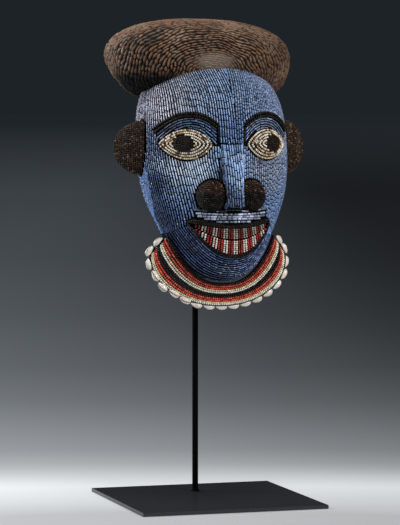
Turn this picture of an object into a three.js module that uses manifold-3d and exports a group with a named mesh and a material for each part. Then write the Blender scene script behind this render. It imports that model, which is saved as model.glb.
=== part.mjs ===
// Beaded mask on its display stand.
// A deep face mask and its oval coiffure are carved from one piece of wood. Sewn beadwork covers
// the face, the ears, the nostrils and the collar, and cowrie shells edge the collar.
// A rod on a square plate holds the mask up from below the coiffure.
// Millimetres. +X is the viewer's right, +Y runs back, +Z is up.
// The origin is the centre of the plate's underside, and the face looks along -Y.
import * as THREE from "three";
import { mergeVertices } from "three/addons/utils/BufferGeometryUtils.js";
import Module from "manifold-3d";

const wasm = await Module();
wasm.setup();

// Stand
const plateSide = 260;
const plateThick = 5;
const rodRadius = 4.2;
const rodY = 58;
const rodTop = 606;
const weldRadius = 6.5;
const weldHeight = 3;

// Face outline, seen from the front, and its open back, which leans with the mask
const faceMidZ = 480;
const faceTopZ = 615;
const faceChinZ = 303;
const faceHalfWidth = 106;
const jawTaper = 0.065;
const jawTaperAt = 0.62;
const rimTilt = 0.2;
const rimYAtMid = -3.2;

// How far the face bulges in front of its rim, at the jaw and at the forehead
const jawDepth = 92;
const foreheadDepth = 114;
const sectionPower = 2.2;
const crownPower = 2.5;
const chinPower = 4;

// Face features: places in the front view and heights above the plain form
const browX = 53;
const browZ = 530.5;
const browHalfLength = 40.5;
const browDrop = 22;
const browHalfBand = 3.4;
const browTail = [17, 493];
const browHeight = 4;
const browSpread = 10;
const eyeX = 56;
const eyeZ = 491;
const eyeHalfLength = 31.5;
const eyeHalfHeight = 20.5;
const socketDepth = 6;
const eyeBulge = 9;
const pupilX = 64.5;
const pupilHalfLength = 11.5;
const pupilHalfHeight = 10.5;
const noseTopZ = 494;
const noseTipZ = 406;
const noseTopHalf = 15;
const noseTipHalf = 12.5;
const noseTopHeight = 4;
const noseTipHeight = 21;
const noseEdge = 4;
const nostrilX = 26;
const nostrilY = -102;
const nostrilZ = 422;
const nostrilRadius = 22.5;
const lipShelfZ = 396;
const lipShelfHalf = 52;
const lipShelfRise = 6;
const muzzleZ = 366;
const muzzleHalfWidth = 64;
const muzzleHalfHeight = 36;
const muzzleRise = 5;

// Mouth lines in the front view
const mouthHalf = 59.5;
const mouthCornerZ = 388;
const lipTopDip = 4;
const lipBottomZ = 340;
const teethHalf = 49;
const teethTopZ = 383.5;
const teethTopRise = 2.5;
const teethDivideZ = 364;
const teethDivideRise = 16;
const teethBottomZ = 343.5;
const teethBottomRise = 32;

// Layers
const clothThick = 3;
const woodWall = 9;
const gap = 0.4;
const beadProud = 1.8;

// Coiffure, an oval cushion
const hairX = 127;
const hairY = 109;
const hairUp = 54;
const hairDown = 71;
const hairCentre = [0, 51, 608];
const hairPlanPower = 2.5;
const hairUpPower = 2.3;
const hairFrontPower = 2.6;
const hairBackPower = 1.5;
const hairDip = THREE.MathUtils.degToRad(1.2);

// Ears, thick half discs that lean back
const earReach = 55.5;
const earHalfHeight = 39;
const earHalfThick = 11;
const earRoot = [98, -41, 485];
const earLean = THREE.MathUtils.degToRad(33);

// Collar
const collarHalfWidth = 95;
const collarMidZ = 335;
const collarDrop = 62;
const collarInnerHalf = 76;
const collarInnerZ = 303;
const collarEndZ = 366;
const collarThick = 9;
const collarSideY = -46;
const collarChinY = -66;
const collarFlare = 12;

// Cowries along the collar's outer edge
const cowrieCount = 19;
const cowrieLength = 16;
const cowrieWidth = 11;
const cowrieHeight = 7;

const colours = {
  wood: 0x5a4636,
  blue: 0x5a6f94,
  black: 0x2a2422,
  cream: 0xc9b184,
  red: 0x8e3027,
  shell: 0xe6dcc6,
  steel: 0x141517,
};

function ease(from, to, x) {
  const t = Math.min(Math.max((x - from) / (to - from), 0), 1);
  return t * t * (3 - 2 * t);
}

function bell(x, spread) {
  return Math.exp(-(x * x) / (spread * spread));
}

// The open back of the mask lies in one leaning plane
function rimY(z) {
  return rimYAtMid + (z - faceMidZ) * rimTilt;
}

function heightShare(z) {
  const reach = z > faceMidZ ? faceTopZ - faceMidZ : faceMidZ - faceChinZ;
  return (z - faceMidZ) / reach;
}

function heightAt(share) {
  const reach = share > 0 ? faceTopZ - faceMidZ : faceMidZ - faceChinZ;
  return faceMidZ + share * reach;
}

// Half width of the face outline at a height: broad at the temples, narrowing to the chin
function outlineHalf(share) {
  const rise = Math.abs(share);
  if (share > 0) {
    return faceHalfWidth * Math.sqrt(Math.max(1 - rise ** 3, 0));
  }
  const taper = 1 - jawTaper * bell(rise - jawTaperAt, 0.2);
  return faceHalfWidth * taper * Math.sqrt(Math.max(1 - rise ** 2, 0));
}

function middleDepth(share, z) {
  const full = jawDepth + (foreheadDepth - jawDepth) * ease(390, 530, z);
  const power = share > 0 ? crownPower : chinPower;
  return full * Math.max(1 - Math.abs(share) ** power, 0) ** (1 / power);
}

function browLine(x) {
  const along = (Math.abs(x) - browX) / browHalfLength;
  return browZ - browDrop * Math.abs(along) ** 2.2;
}

function noseHalf(z) {
  return THREE.MathUtils.mapLinear(z, noseTopZ, noseTipZ, noseTopHalf, noseTipHalf);
}

// Forms carved on the plain face, as a height over it in the front view
function relief(x, z) {
  const side = Math.abs(x);
  const browReach = ease(browX + browHalfLength + 8, browX + browHalfLength - 8, side);
  const brow = browHeight * bell(z - browLine(x), browSpread) * browReach * ease(2, 34, side);
  const eyeU = (side - eyeX) / eyeHalfLength;
  const eyeV = (z - eyeZ) / eyeHalfHeight;
  const socket = -socketDepth * Math.exp(-((eyeU / 1.25) ** 4) - (((z - eyeZ - 4) / 33) ** 4));
  const ball = eyeBulge * Math.max(1 - eyeU ** 2 - eyeV ** 2, 0) ** 0.8;
  const noseRun = ease(noseTopZ + 2, noseTopZ - 3, z) * ease(noseTipZ - 4, noseTipZ + 1, z);
  const noseSide = ease(noseHalf(z) + noseEdge * 0.7, noseHalf(z) - noseEdge * 0.3, side);
  const noseFall = THREE.MathUtils.mapLinear(z, noseTopZ, noseTipZ, noseTopHeight, noseTipHeight);
  const nose = noseFall * noseRun * noseSide;
  const shelf = lipShelfRise * bell(z - lipShelfZ, 6) * ease(lipShelfHalf + 8, lipShelfHalf - 8, side);
  const muzzleR = Math.hypot(side / muzzleHalfWidth, (z - muzzleZ) / muzzleHalfHeight);
  const muzzle = muzzleRise * ease(1.15, 0.7, muzzleR);
  return brow + socket + ball + nose + shelf * (1 - noseRun * noseSide) + muzzle;
}

// A point of the face from its share of the section's half width and its share of the height
function facePoint(across, share) {
  const z = heightAt(share);
  const x = outlineHalf(share) * across;
  const round = Math.max(1 - Math.abs(across) ** sectionPower, 0) ** (1 / sectionPower);
  const calm = ease(0, 0.45, round);
  const y = rimY(z) - middleDepth(share, z) * round - relief(x, z) * calm;
  return new THREE.Vector3(x, y, z);
}

// A square net pressed onto a disc, with its outer rows turned back round the sides of the head
function netPoint(p, q) {
  const x = p * Math.sqrt(1 - (q * q) / 2);
  const z = q * Math.sqrt(1 - (p * p) / 2);
  const r = Math.hypot(x, z);
  const spread = r > 1e-9 ? Math.sin(Math.min(r, 1) * Math.PI / 2) / r : Math.PI / 2;
  const share = z * spread;
  const reach = Math.sqrt(Math.max(1 - share * share, 1e-12));
  const across = THREE.MathUtils.clamp((x * spread) / reach, -1, 1);
  return facePoint(across, share);
}

function netPointLifted(p, q, lift) {
  const point = netPoint(p, q);
  if (lift === 0) {
    return point;
  }
  const step = 0.004;
  const [u, v] = [0.98 * p, 0.98 * q];
  const alongP = netPoint(u + step, v).sub(netPoint(u - step, v));
  const alongQ = netPoint(u, v + step).sub(netPoint(u, v - step));
  return point.addScaledVector(alongP.cross(alongQ).normalize(), lift);
}

// Closed meshes from nets of points

function grid(columns, rows, at) {
  const net = [];
  for (let j = 0; j <= rows; j += 1) {
    for (let i = 0; i <= columns; i += 1) {
      net.push(at(i / columns, j / rows));
    }
  }
  return { columns, rows, net };
}

// The guide, where a net has one, says which way each of its quads is split
function gridTriangles({ columns, rows, net, guide = net }, flipped) {
  const points = [];
  const width = columns + 1;
  for (let j = 0; j < rows; j += 1) {
    for (let i = 0; i < columns; i += 1) {
      const corners = [j * width + i, j * width + i + 1, (j + 1) * width + i + 1, (j + 1) * width + i];
      const [a, b, c, d] = corners.map((index) => net[index]);
      const [e, f, g, h] = corners.map((index) => guide[index]);
      const split = e.distanceTo(g) < f.distanceTo(h) ? [a, b, c, a, c, d] : [a, b, d, b, c, d];
      points.push(...(flipped ? split.reverse() : split));
    }
  }
  return points;
}

// The net's edge, once round
function edgeOf({ columns, rows, net }) {
  const width = columns + 1;
  const ring = [];
  for (let i = 0; i < columns; i += 1) {
    ring.push(net[i]);
  }
  for (let j = 0; j < rows; j += 1) {
    ring.push(net[j * width + columns]);
  }
  for (let i = columns; i > 0; i -= 1) {
    ring.push(net[rows * width + i]);
  }
  for (let j = rows; j > 0; j -= 1) {
    ring.push(net[j * width]);
  }
  return ring;
}

function band(front, back) {
  const points = [];
  front.forEach((a, index) => {
    const b = front[(index + 1) % front.length];
    const c = back[(index + 1) % back.length];
    const d = back[index];
    points.push(b, a, d, b, d, c);
  });
  return points;
}

function fan(ring, centre) {
  const points = [];
  ring.forEach((a, index) => {
    points.push(ring[(index + 1) % ring.length], a, centre);
  });
  return points;
}

function geometryFrom(points) {
  const geometry = new THREE.BufferGeometry().setFromPoints(points);
  return mergeVertices(geometry, 1e-4);
}

// A layer between two nets of the same size, closed along their edges
function layer(outer, inner) {
  return geometryFrom([
    ...gridTriangles(outer, false),
    ...gridTriangles(inner, true),
    ...band(edgeOf(outer), edgeOf(inner)),
  ]);
}

// Boolean work on closed meshes

function solid(geometry) {
  const bare = geometry.clone();
  bare.deleteAttribute("normal");
  bare.deleteAttribute("uv");
  const merged = mergeVertices(bare, 1e-4);
  return new wasm.Manifold(new wasm.Mesh({
    numProp: 3,
    vertProperties: merged.attributes.position.array,
    triVerts: Uint32Array.from(merged.index.array),
  }));
}

function geometryOf(shape) {
  const { numProp, vertProperties, triVerts } = shape.getMesh();
  const positions = new Float32Array((vertProperties.length / numProp) * 3);
  for (let v = 0; v < positions.length / 3; v += 1) {
    positions.set(vertProperties.subarray(v * numProp, v * numProp + 3), v * 3);
  }
  const geometry = new THREE.BufferGeometry();
  geometry.setAttribute("position", new THREE.BufferAttribute(positions, 3));
  geometry.setIndex(new THREE.BufferAttribute(new Uint32Array(triVerts), 1));
  return geometry;
}

function largest(shape) {
  const pieces = shape.decompose().sort((a, b) => b.volume() - a.volume());
  return pieces[0];
}

// Face nets: columns crowd towards the nose, and the beadwork stops just short of the rim
const beadEdge = 0.965;

function evenly(from, to, count) {
  return Array.from({ length: count }, (_, index) => from + ((to - from) * (index + 1)) / count);
}

function netRow(z) {
  return (Math.asin(heightShare(z)) * 2) / Math.PI;
}

function netColumn(x) {
  return (Math.asin(x / faceHalfWidth) * 2) / Math.PI;
}

// Columns and rows follow the edges of the nose, and are even elsewhere
const noseColumns = [0, noseTipHalf * 0.6, noseTipHalf + 0.5, noseTipHalf + 5.5].map(netColumn);
const halfColumns = [...noseColumns, ...evenly(noseColumns[3], 1, 9)];
const faceColumnsAt = [...halfColumns.slice(1).reverse().map((p) => -p), ...halfColumns];
const faceRowsAt = [
  -1,
  ...evenly(-1, netRow(noseTipZ - 5), 9),
  netRow(noseTipZ + 1),
  ...evenly(netRow(noseTipZ + 1), netRow(noseTopZ - 3), 5),
  netRow(noseTopZ + 2.5),
  ...evenly(netRow(noseTopZ + 2.5), 1, 9),
];
const faceColumns = faceColumnsAt.length - 1;
const faceRows = faceRowsAt.length - 1;

function faceNet(reach, lift) {
  const at = (height) => grid(faceColumns, faceRows, (s, t) => {
    const p = reach * faceColumnsAt[Math.round(s * faceColumns)];
    const q = reach * faceRowsAt[Math.round(t * faceRows)];
    return netPointLifted(p, q, height);
  });
  return { ...at(lift), guide: at(0).net };
}

// The whole face as a filled form, used to trim what sits against it
function filledFace(lift) {
  const front = faceNet(beadEdge, lift);
  const rim = faceNet(1, lift);
  const centre = new THREE.Vector3(0, rimY(faceMidZ), faceMidZ);
  return geometryFrom([
    ...gridTriangles(front, false),
    ...band(edgeOf(front), edgeOf(rim)),
    ...fan(edgeOf(rim), centre),
  ]);
}

function powerOf(value, power) {
  return Math.sign(value) * Math.abs(value) ** power;
}

// Rounded cushion form with its own power across and up
function cushion(radii, planPower, upPower, downPowerAt, around, up) {
  const [rx, ry, rUp, rDown] = radii;
  return geometryFrom(gridTriangles(grid(around, up, (s, t) => {
    const turn = 2 * Math.PI * (s === 1 ? 0 : s);
    const tilt = Math.PI * (t - 0.5);
    const sidePower = t > 0.5 ? upPower : downPowerAt(turn);
    const ring = t === 0 || t === 1 ? 0 : Math.cos(tilt) ** (2 / sidePower);
    const x = rx * ring * powerOf(Math.cos(turn), 2 / planPower);
    const y = ry * ring * powerOf(Math.sin(turn), 2 / planPower);
    const rise = powerOf(Math.sin(tilt), 2 / sidePower);
    return new THREE.Vector3(x, y, rise * (rise > 0 ? rUp : rDown));
  }), false).filter((point, index, all) => {
    const start = index - (index % 3);
    const [a, b, c] = all.slice(start, start + 3);
    return a.distanceTo(b) > 1e-6 && b.distanceTo(c) > 1e-6 && c.distanceTo(a) > 1e-6;
  }));
}

function coiffure(lift) {
  const radii = [hairX + lift, hairY + lift, hairUp + lift, hairDown + lift];
  const downPower = (turn) => {
    const behind = ease(-0.3, 0.5, Math.sin(turn));
    return THREE.MathUtils.lerp(hairFrontPower, hairBackPower, behind);
  };
  const oval = cushion(radii, hairPlanPower, hairUpPower, downPower, 30, 12);
  return oval.rotateY(hairDip).translate(...hairCentre);
}

// The hollow: the face's inside in front of the rim, and a shallow cap under the coiffure behind it
function hollow() {
  const inset = -(clothThick + woodWall);
  const columns = 9;
  const rows = 10;
  const front = grid(columns, rows, (s, t) => netPointLifted(2 * s - 1, 2 * t - 1, inset));
  const capDepth = 96;
  const back = grid(columns, rows, (s, t) => {
    const point = front.net[Math.round(t * rows) * (columns + 1) + Math.round(s * columns)].clone();
    const depth = rimY(point.z) - point.y;
    const full = middleDepth(0.05, faceMidZ);
    point.y = rimY(point.z) + Math.max(depth, 0) * (capDepth / full) + (depth < 0 ? -depth : 0);
    return point;
  });
  edgeOf(front).forEach((point, index) => edgeOf(back)[index].copy(point));
  return geometryFrom([...gridTriangles(front, false), ...gridTriangles(back, true)]);
}

function rodShape(radius, bottom, top) {
  const profile = [[0, bottom], [weldRadius, bottom], [radius, bottom + weldHeight], [radius, top], [0, top]];
  return new THREE.LatheGeometry(profile.map(([x, y]) => new THREE.Vector2(x, y)), 12)
    .rotateX(Math.PI / 2)
    .translate(0, rodY, 0);
}

const faceForm = solid(filledFace(0.3));

function carvedMask() {
  const core = solid(filledFace(-clothThick - gap).translate(0, 1.5 * gap, 0));
  const socket = solid(rodShape(rodRadius + 0.4, plateThick, rodTop + 0.4));
  const shape = core.add(solid(coiffure(0))).subtract(solid(hollow())).subtract(socket);
  return geometryOf(largest(shape));
}

function blueBeadwork() {
  const skin = solid(layer(faceNet(beadEdge, 0), faceNet(beadEdge, -clothThick)));
  return geometryOf(largest(skin.subtract(solid(coiffure(0.4)))));
}

// A patch of beads: the layer just over the face inside an outline drawn in the front view
function prism(outline) {
  const shape = new THREE.Shape(outline.map(([x, z]) => new THREE.Vector2(x, z)));
  return solid(new THREE.ExtrudeGeometry(shape, { depth: 200, bevelEnabled: false }).rotateX(Math.PI / 2));
}

function beadPatch(outline, proud) {
  return prism(outline).intersect(solid(filledFace(proud))).subtract(faceForm);
}

function ringOf(count, at) {
  return Array.from({ length: count }, (_, index) => at((index / count) * 2 * Math.PI));
}

// An almond with its tips sideways
function almond(centreX, centreZ, halfLength, halfHeight, count) {
  return ringOf(count, (turn) => {
    const along = Math.cos(turn);
    const pinch = 1 - 0.2 * Math.abs(along) ** 3;
    return [centreX + halfLength * along, centreZ + halfHeight * Math.sin(turn) * pinch];
  });
}

function pupilOutline(side, grow) {
  return almond(side * pupilX, eyeZ + 1, pupilHalfLength + grow, pupilHalfHeight + grow, 12);
}

function pupil(side) {
  return beadPatch(pupilOutline(side, 0), beadProud);
}

function eye(side) {
  const whole = beadPatch(almond(side * eyeX, eyeZ, eyeHalfLength, eyeHalfHeight, 16), beadProud);
  return whole.subtract(prism(pupilOutline(side, 0.4)));
}

// The brow's arc, then a thin tail down beside the nose
function brow(side) {
  const steps = [1, ...evenly(1, -0.86, 7)].map((along) => browX + browHalfLength * along);
  const path = [...steps.map((x) => [x, browLine(x)]), browTail];
  const upper = [];
  const lower = [];
  path.forEach(([x, z], index) => {
    const before = path[Math.max(index - 1, 0)];
    const after = path[Math.min(index + 1, path.length - 1)];
    const run = Math.hypot(after[0] - before[0], after[1] - before[1]);
    const half = index === path.length - 1 ? browHalfBand * 0.35 : browHalfBand;
    const across = [(after[1] - before[1]) * half / run, (before[0] - after[0]) * half / run];
    upper.push([side * (x + across[0]), z + across[1]]);
    lower.push([side * (x - across[0]), z - across[1]]);
  });
  return beadPatch([...upper, ...lower.reverse()], beadProud + 0.5);
}

// Lines of the mouth in the front view
function lipTop(x) {
  const near = Math.abs(x) / mouthHalf;
  return mouthCornerZ + lipTopDip * ((2 * near) ** 2 * 0.6 - (near ** 8) * 2.6);
}

function lipBottom(x) {
  return lipBottomZ + (mouthCornerZ - lipBottomZ) * (Math.abs(x) / mouthHalf) ** 2.2;
}

function teethTop(x) {
  return teethTopZ + teethTopRise * (x / teethHalf) ** 2;
}

function teethDivide(x) {
  return teethDivideZ + teethDivideRise * (x / teethHalf) ** 2;
}

function teethBottom(x) {
  return teethBottomZ + teethBottomRise * (x / teethHalf) ** 2;
}

function between(half, low, high, count) {
  const xs = [-half, ...evenly(-half, half, count)];
  return [...xs.map((x) => [x, low(x)]), ...xs.reverse().map((x) => [x, high(x)])];
}

function teethOutline(upper, grow) {
  const low = upper ? (x) => teethDivide(x) + 1.2 - grow : (x) => teethBottom(x) - grow;
  const high = upper ? (x) => teethTop(x) + grow : (x) => teethDivide(x) - 1.2 + grow;
  return between(teethHalf + grow, low, high, 6);
}

function teeth(upper) {
  return beadPatch(teethOutline(upper, 0), beadProud - 0.6);
}

function lips() {
  const whole = beadPatch(between(mouthHalf - 0.4, lipBottom, lipTop, 10), beadProud + 0.8);
  return whole.subtract(prism(teethOutline(true, 0.4))).subtract(prism(teethOutline(false, 0.4)));
}

function nostril(side) {
  const radii = [nostrilRadius, nostrilRadius, nostrilRadius + 0.5, nostrilRadius + 0.5];
  const ball = cushion(radii, 2, 2, () => 2, 12, 6).translate(side * nostrilX, nostrilY, nostrilZ);
  return solid(ball).subtract(faceForm);
}

function ear(side) {
  const radii = [earReach, earHalfThick, earHalfHeight, earHalfHeight];
  const [x, y, z] = earRoot;
  const back = [x - earHalfThick * Math.sin(earLean), y + earHalfThick * Math.cos(earLean), z];
  const disc = cushion(radii, 2.6, 2.1, () => 2.1, 16, 8).rotateZ(side * earLean);
  return solid(disc.translate(side * back[0], back[1], back[2])).subtract(faceForm);
}

// Collar: a U-shaped flange from its inner line round the jaw to its outer line
function collarOuter(t) {
  const turn = THREE.MathUtils.lerp(-Math.PI / 2 - 1.73, -Math.PI / 2 + 1.73, t);
  return [collarHalfWidth * Math.cos(turn), collarMidZ + collarDrop * Math.sin(turn)];
}

function collarInner(t) {
  const x = collarInnerHalf * Math.sin((2 * t - 1) * Math.PI / 2);
  const near = Math.abs(x) / collarInnerHalf;
  return [x, collarInnerZ + (collarEndZ - collarInnerZ) * near ** 2.5];
}

function collarPoint(t, w, back) {
  const [innerX, innerZ] = collarInner(t);
  const [outerX, outerZ] = collarOuter(t);
  const x = THREE.MathUtils.lerp(innerX, outerX, w);
  const z = THREE.MathUtils.lerp(innerZ, outerZ, w);
  const middle = THREE.MathUtils.lerp(collarChinY, collarSideY, Math.abs(2 * t - 1) ** 1.5);
  return new THREE.Vector3(x, middle - collarFlare * (1 - w) + back, z);
}

function collar() {
  const front = grid(18, 2, (t, w) => collarPoint(1 - t, w - 0.12 * (1 - w), 0));
  const rear = grid(18, 2, (t, w) => collarPoint(1 - t, w - 0.12 * (1 - w), collarThick));
  return solid(layer(front, rear)).subtract(faceForm);
}

// The collar's free edge, from the jaw on one side round to the jaw on the other
const edgePath = new THREE.CatmullRomCurve3([
  collarPoint(0, 0.1, 0),
  ...[0, 0.02, ...evenly(0.02, 0.98, 20), 1].map((t) => collarPoint(t, 1, 0)),
  collarPoint(1, 0.1, 0),
]);

// How far each cowrie turns from facing forwards towards facing out from the collar, in degrees
const cowrieTurns = [60, 45, 62, 22, 35, 12, 20, 55, 72, 78, 66, 60, 48, 40, 45, 45, 74, 55, 48];

function cowrie(index) {
  const share = (index + 0.5) / cowrieCount;
  const along = edgePath.getTangentAt(share);
  const forward = new THREE.Vector3(0, -1, 0);
  const outward = new THREE.Vector3().crossVectors(along, forward).normalize();
  const turn = THREE.MathUtils.degToRad(cowrieTurns[index]);
  const up = forward.clone().multiplyScalar(Math.cos(turn)).addScaledVector(outward, Math.sin(turn));
  const side = new THREE.Vector3().crossVectors(up, along).normalize();
  const level = new THREE.Vector3().crossVectors(along, side).normalize();
  const shell = cushion([cowrieLength / 2, cowrieWidth / 2, cowrieHeight, 0.5], 2, 2, () => 2, 6, 4);
  const seat = edgePath.getPointAt(share).add(new THREE.Vector3(0, collarThick / 2, 0));
  const lift = collarThick / 2 + 1.2 + 1.4 * Math.cos(turn);
  seat.addScaledVector(outward, 0.5 - 4 * Math.cos(turn)).addScaledVector(level, lift);
  return shell.applyMatrix4(new THREE.Matrix4().makeBasis(along, side, level).setPosition(seat));
}

const finishes = {
  wood: { roughness: 0.75, metalness: 0 },
  blue: { roughness: 0.35, metalness: 0 },
  black: { roughness: 0.45, metalness: 0 },
  cream: { roughness: 0.4, metalness: 0 },
  red: { roughness: 0.4, metalness: 0 },
  shell: { roughness: 0.3, metalness: 0 },
  steel: { roughness: 0.35, metalness: 0.6 },
};

const mask = new THREE.Group();

function place(name, geometry, finish) {
  geometry.computeVertexNormals();
  const material = new THREE.MeshStandardMaterial({ color: colours[finish], ...finishes[finish] });
  const mesh = new THREE.Mesh(geometry, material);
  mesh.name = name;
  mask.add(mesh);
}

const plate = new THREE.BoxGeometry(plateSide, plateSide, plateThick);
place("base_plate", plate.translate(0, 0, plateThick / 2), "steel");
place("stand_rod", rodShape(rodRadius, plateThick + 0.3, rodTop), "steel");
place("carved_wood_mask", carvedMask(), "wood");
place("blue_bead_face", blueBeadwork(), "blue");
place("beaded_collar", geometryOf(largest(collar())), "red");
place("black_bead_lips", geometryOf(largest(lips())), "black");
place("bead_teeth_upper", geometryOf(largest(teeth(true))), "red");
place("bead_teeth_lower", geometryOf(largest(teeth(false))), "red");
for (const [word, side] of [["left", -1], ["right", 1]]) {
  place(`beaded_ear_${word}`, geometryOf(largest(ear(side))), "black");
  place(`beaded_nostril_${word}`, geometryOf(largest(nostril(side))), "black");
  place(`bead_brow_${word}`, geometryOf(largest(brow(side))), "black");
  place(`bead_eye_${word}`, geometryOf(largest(eye(side))), "cream");
  place(`bead_pupil_${word}`, geometryOf(largest(pupil(side))), "black");
}
for (let index = 0; index < cowrieCount; index += 1) {
  place(`cowrie_${String(index + 1).padStart(2, "0")}`, cowrie(index), "shell");
}

export default mask;
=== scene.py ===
import math

import bmesh
import bpy
import numpy as np
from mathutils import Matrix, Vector


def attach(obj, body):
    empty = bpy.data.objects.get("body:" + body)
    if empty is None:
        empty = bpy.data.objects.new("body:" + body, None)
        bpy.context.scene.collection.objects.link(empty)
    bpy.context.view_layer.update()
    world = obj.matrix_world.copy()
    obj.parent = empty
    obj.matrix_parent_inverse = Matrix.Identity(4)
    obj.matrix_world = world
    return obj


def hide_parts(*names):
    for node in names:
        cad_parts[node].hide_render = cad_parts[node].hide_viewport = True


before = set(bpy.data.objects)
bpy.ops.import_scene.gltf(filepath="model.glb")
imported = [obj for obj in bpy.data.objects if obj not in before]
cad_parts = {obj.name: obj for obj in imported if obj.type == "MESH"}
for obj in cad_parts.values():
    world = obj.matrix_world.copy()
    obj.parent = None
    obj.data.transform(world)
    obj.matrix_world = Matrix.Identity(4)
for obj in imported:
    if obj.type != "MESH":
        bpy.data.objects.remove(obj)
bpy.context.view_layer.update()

bl_info = {
    "name": "Beaded mask on a stand",
    "version": (1, 0, 0),
    "blender": (4, 5, 0),
    "location": "View3D > Sidebar > Mask",
    "description": "Beadwork, carved coiffure, shells and steel for a mask on its display stand",
    "category": "Object",
}

# Shapes are worked out in millimetres and put into the meshes in metres
MM = 0.001

# Plain form of the face, as the solids have it
FACE_MID_Z = 480
FACE_TOP_Z = 615
FACE_CHIN_Z = 303
FACE_HALF_WIDTH = 106
JAW_TAPER = 0.065
JAW_TAPER_AT = 0.62
RIM_TILT = 0.2
RIM_Y = -3.2
JAW_DEPTH = 92
FOREHEAD_DEPTH = 114
SECTION_POWER = 2.2
CROWN_POWER = 2.5
CHIN_POWER = 4

# Features of the face in the front view
BROW_X = 53
BROW_Z = 530.5
BROW_HALF_LENGTH = 40.5
BROW_DROP = 22
BROW_HALF_BAND = 3.4
BROW_TAIL = (17, 493)
BROW_RISE = 4
BROW_SPREAD = 10
EYE_X = 56
EYE_Z = 491
EYE_SHIFT = -2
EYE_HALF_LENGTH = 31.5
EYE_HALF_HEIGHT = 20.5
SOCKET_DEPTH = 6
EYE_BULGE = 9
EYE_POINT = 0.8
PUPIL_X = {"left": 61.5, "right": 64.5}
PUPIL_HALF_LENGTH = {"left": 10.4, "right": 11.5}
PUPIL_HALF_HEIGHT = 10.5
NOSE_TOP_Z = 494
NOSE_TIP_Z = 406
NOSE_TOP_HALF = 15
NOSE_TIP_HALF = 12.5
NOSE_TOP_RISE = 4
NOSE_TIP_RISE = 21
NOSE_EDGE = 4
NOSTRIL = (26, -102, 422)
NOSTRIL_RADIUS = 22.5
SHELF_Z = 396
SHELF_HALF = 52
SHELF_RISE = 6
MUZZLE_Z = 366
MUZZLE_HALF_WIDTH = 64
MUZZLE_HALF_HEIGHT = 36
MUZZLE_RISE = 5
MOUTH_HALF = 59.5
MOUTH_CORNER_Z = 388
LIP_TOP_DIP = 4
LIP_TOP_SAG = 4.5
LIP_BOTTOM_Z = 340
TEETH_HALF = 49
TEETH_TOP_Z = 380
TEETH_TOP_RISE = 6
TEETH_DIVIDE_Z = 364
TEETH_DIVIDE_RISE = 16
TEETH_BOTTOM_Z = 343.5
TEETH_BOTTOM_RISE = 32

# Coiffure, ears and collar
HAIR_X = 127
HAIR_Y = 109
HAIR_UP = 54
HAIR_DOWN = 71
HAIR_CENTRE = (0, 51, 608)
HAIR_PLAN_POWER = 2.5
HAIR_UP_POWER = 2.3
HAIR_FRONT_POWER = 2.6
HAIR_BACK_POWER = 1.5
HAIR_DIP = math.radians(1.2)
HAIR_POLE = (-10, -32)
HAIR_WIDE = 1.15
HAIR_FLAT = 0.85
GRAIN_PITCH = (4.0, 7.3)
GRAIN_LENGTH = 10
GRAIN_SAMPLES = 5
GRAIN_COLUMNS = 360
EAR_REACH = 55.5
EAR_HALF_HEIGHT = 39
EAR_HALF_THICK = 11
EAR_ROOT = (98, -41, 485)
EAR_LEAN = math.radians(33)
EAR_PLAN_POWER = 2.6
EAR_UP_POWER = 2.1
COLLAR_HALF_WIDTH = 95
COLLAR_MID_Z = 335
COLLAR_DROP = 62
COLLAR_TURN = 1.73
COLLAR_INNER_HALF = 76
COLLAR_INNER_Z = 303
COLLAR_END_Z = 366
COLLAR_THICK = 9
COLLAR_ROWS = (0.0, 0.07, 0.15, 0.25, 0.345, 0.43, 0.52, 0.62, 0.715, 0.81, 0.895, 0.965)
COLLAR_SIDE_Y = -46
COLLAR_CHIN_Y = -66
COLLAR_FLARE = 12
COWRIE_COUNT = 19
COWRIE_TURNS = (70, 60, 74, 30, 48, 22, 34, 70, 86, 90, 86, 78, 66, 58, 60, 60, 80, 66, 58)

# Wood wall and rod socket
BEAD_EDGE = 0.965
WOOD_INSET = 3.4
HOLLOW_INSET = 12
HOLLOW_CAP = 96
ROD_Y = 58
ROD_RADIUS = 4.2
ROD_TOP = 606

# Beads
BUGLE_PITCH = 3.45
SEAM = 7
TEMPLE_AT = 72
TEMPLE_SPREAD = 1.22
LEFT_LEAN = 9
RIGHT_LEAN = 6
CHEEK_LEAN = 21
STRIP_FROM = 0.955
EDGE_PITCH = 2.7
SEED_PITCH = 3.4
CLOTH_LIFT = -2.3
CLOTH_THICK = 0.9
NET = 112
CORE_NET = 80
CUTTER_NET = 70
BUGLE_PROFILE = ((-0.5, 0.66), (-0.46, 0.97), (0.46, 0.97), (0.5, 0.66))
SEED_PROFILE = ((-0.5, 0.58), (-0.34, 0.93), (0.0, 1.0), (0.34, 0.93), (0.5, 0.58))
BEAD_SPREAD = (0.92, 1.05)
UNDER_BROW_ROWS = 8
UNDER_BROW_PITCH = 3.1
JAW_ROWS = 13
SHELF_ROWS = 7
SHELF_PITCH = 2.8
EYE_RINGS = 6
EYE_RING_STEPS = (5.0, 3.3, 3.35)
PUPIL_INSETS = (1.3, 4.1, 6.9, 9.4)
LIP_BLENDS = (0.15, 0.45, 0.75)
TOOTH_STRANDS = 29
EAR_PITCH = 3.2
BLUE_LEVEL = 0.84
BLUE_BALANCE = (0.94, 1.06, 1.11)

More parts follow.
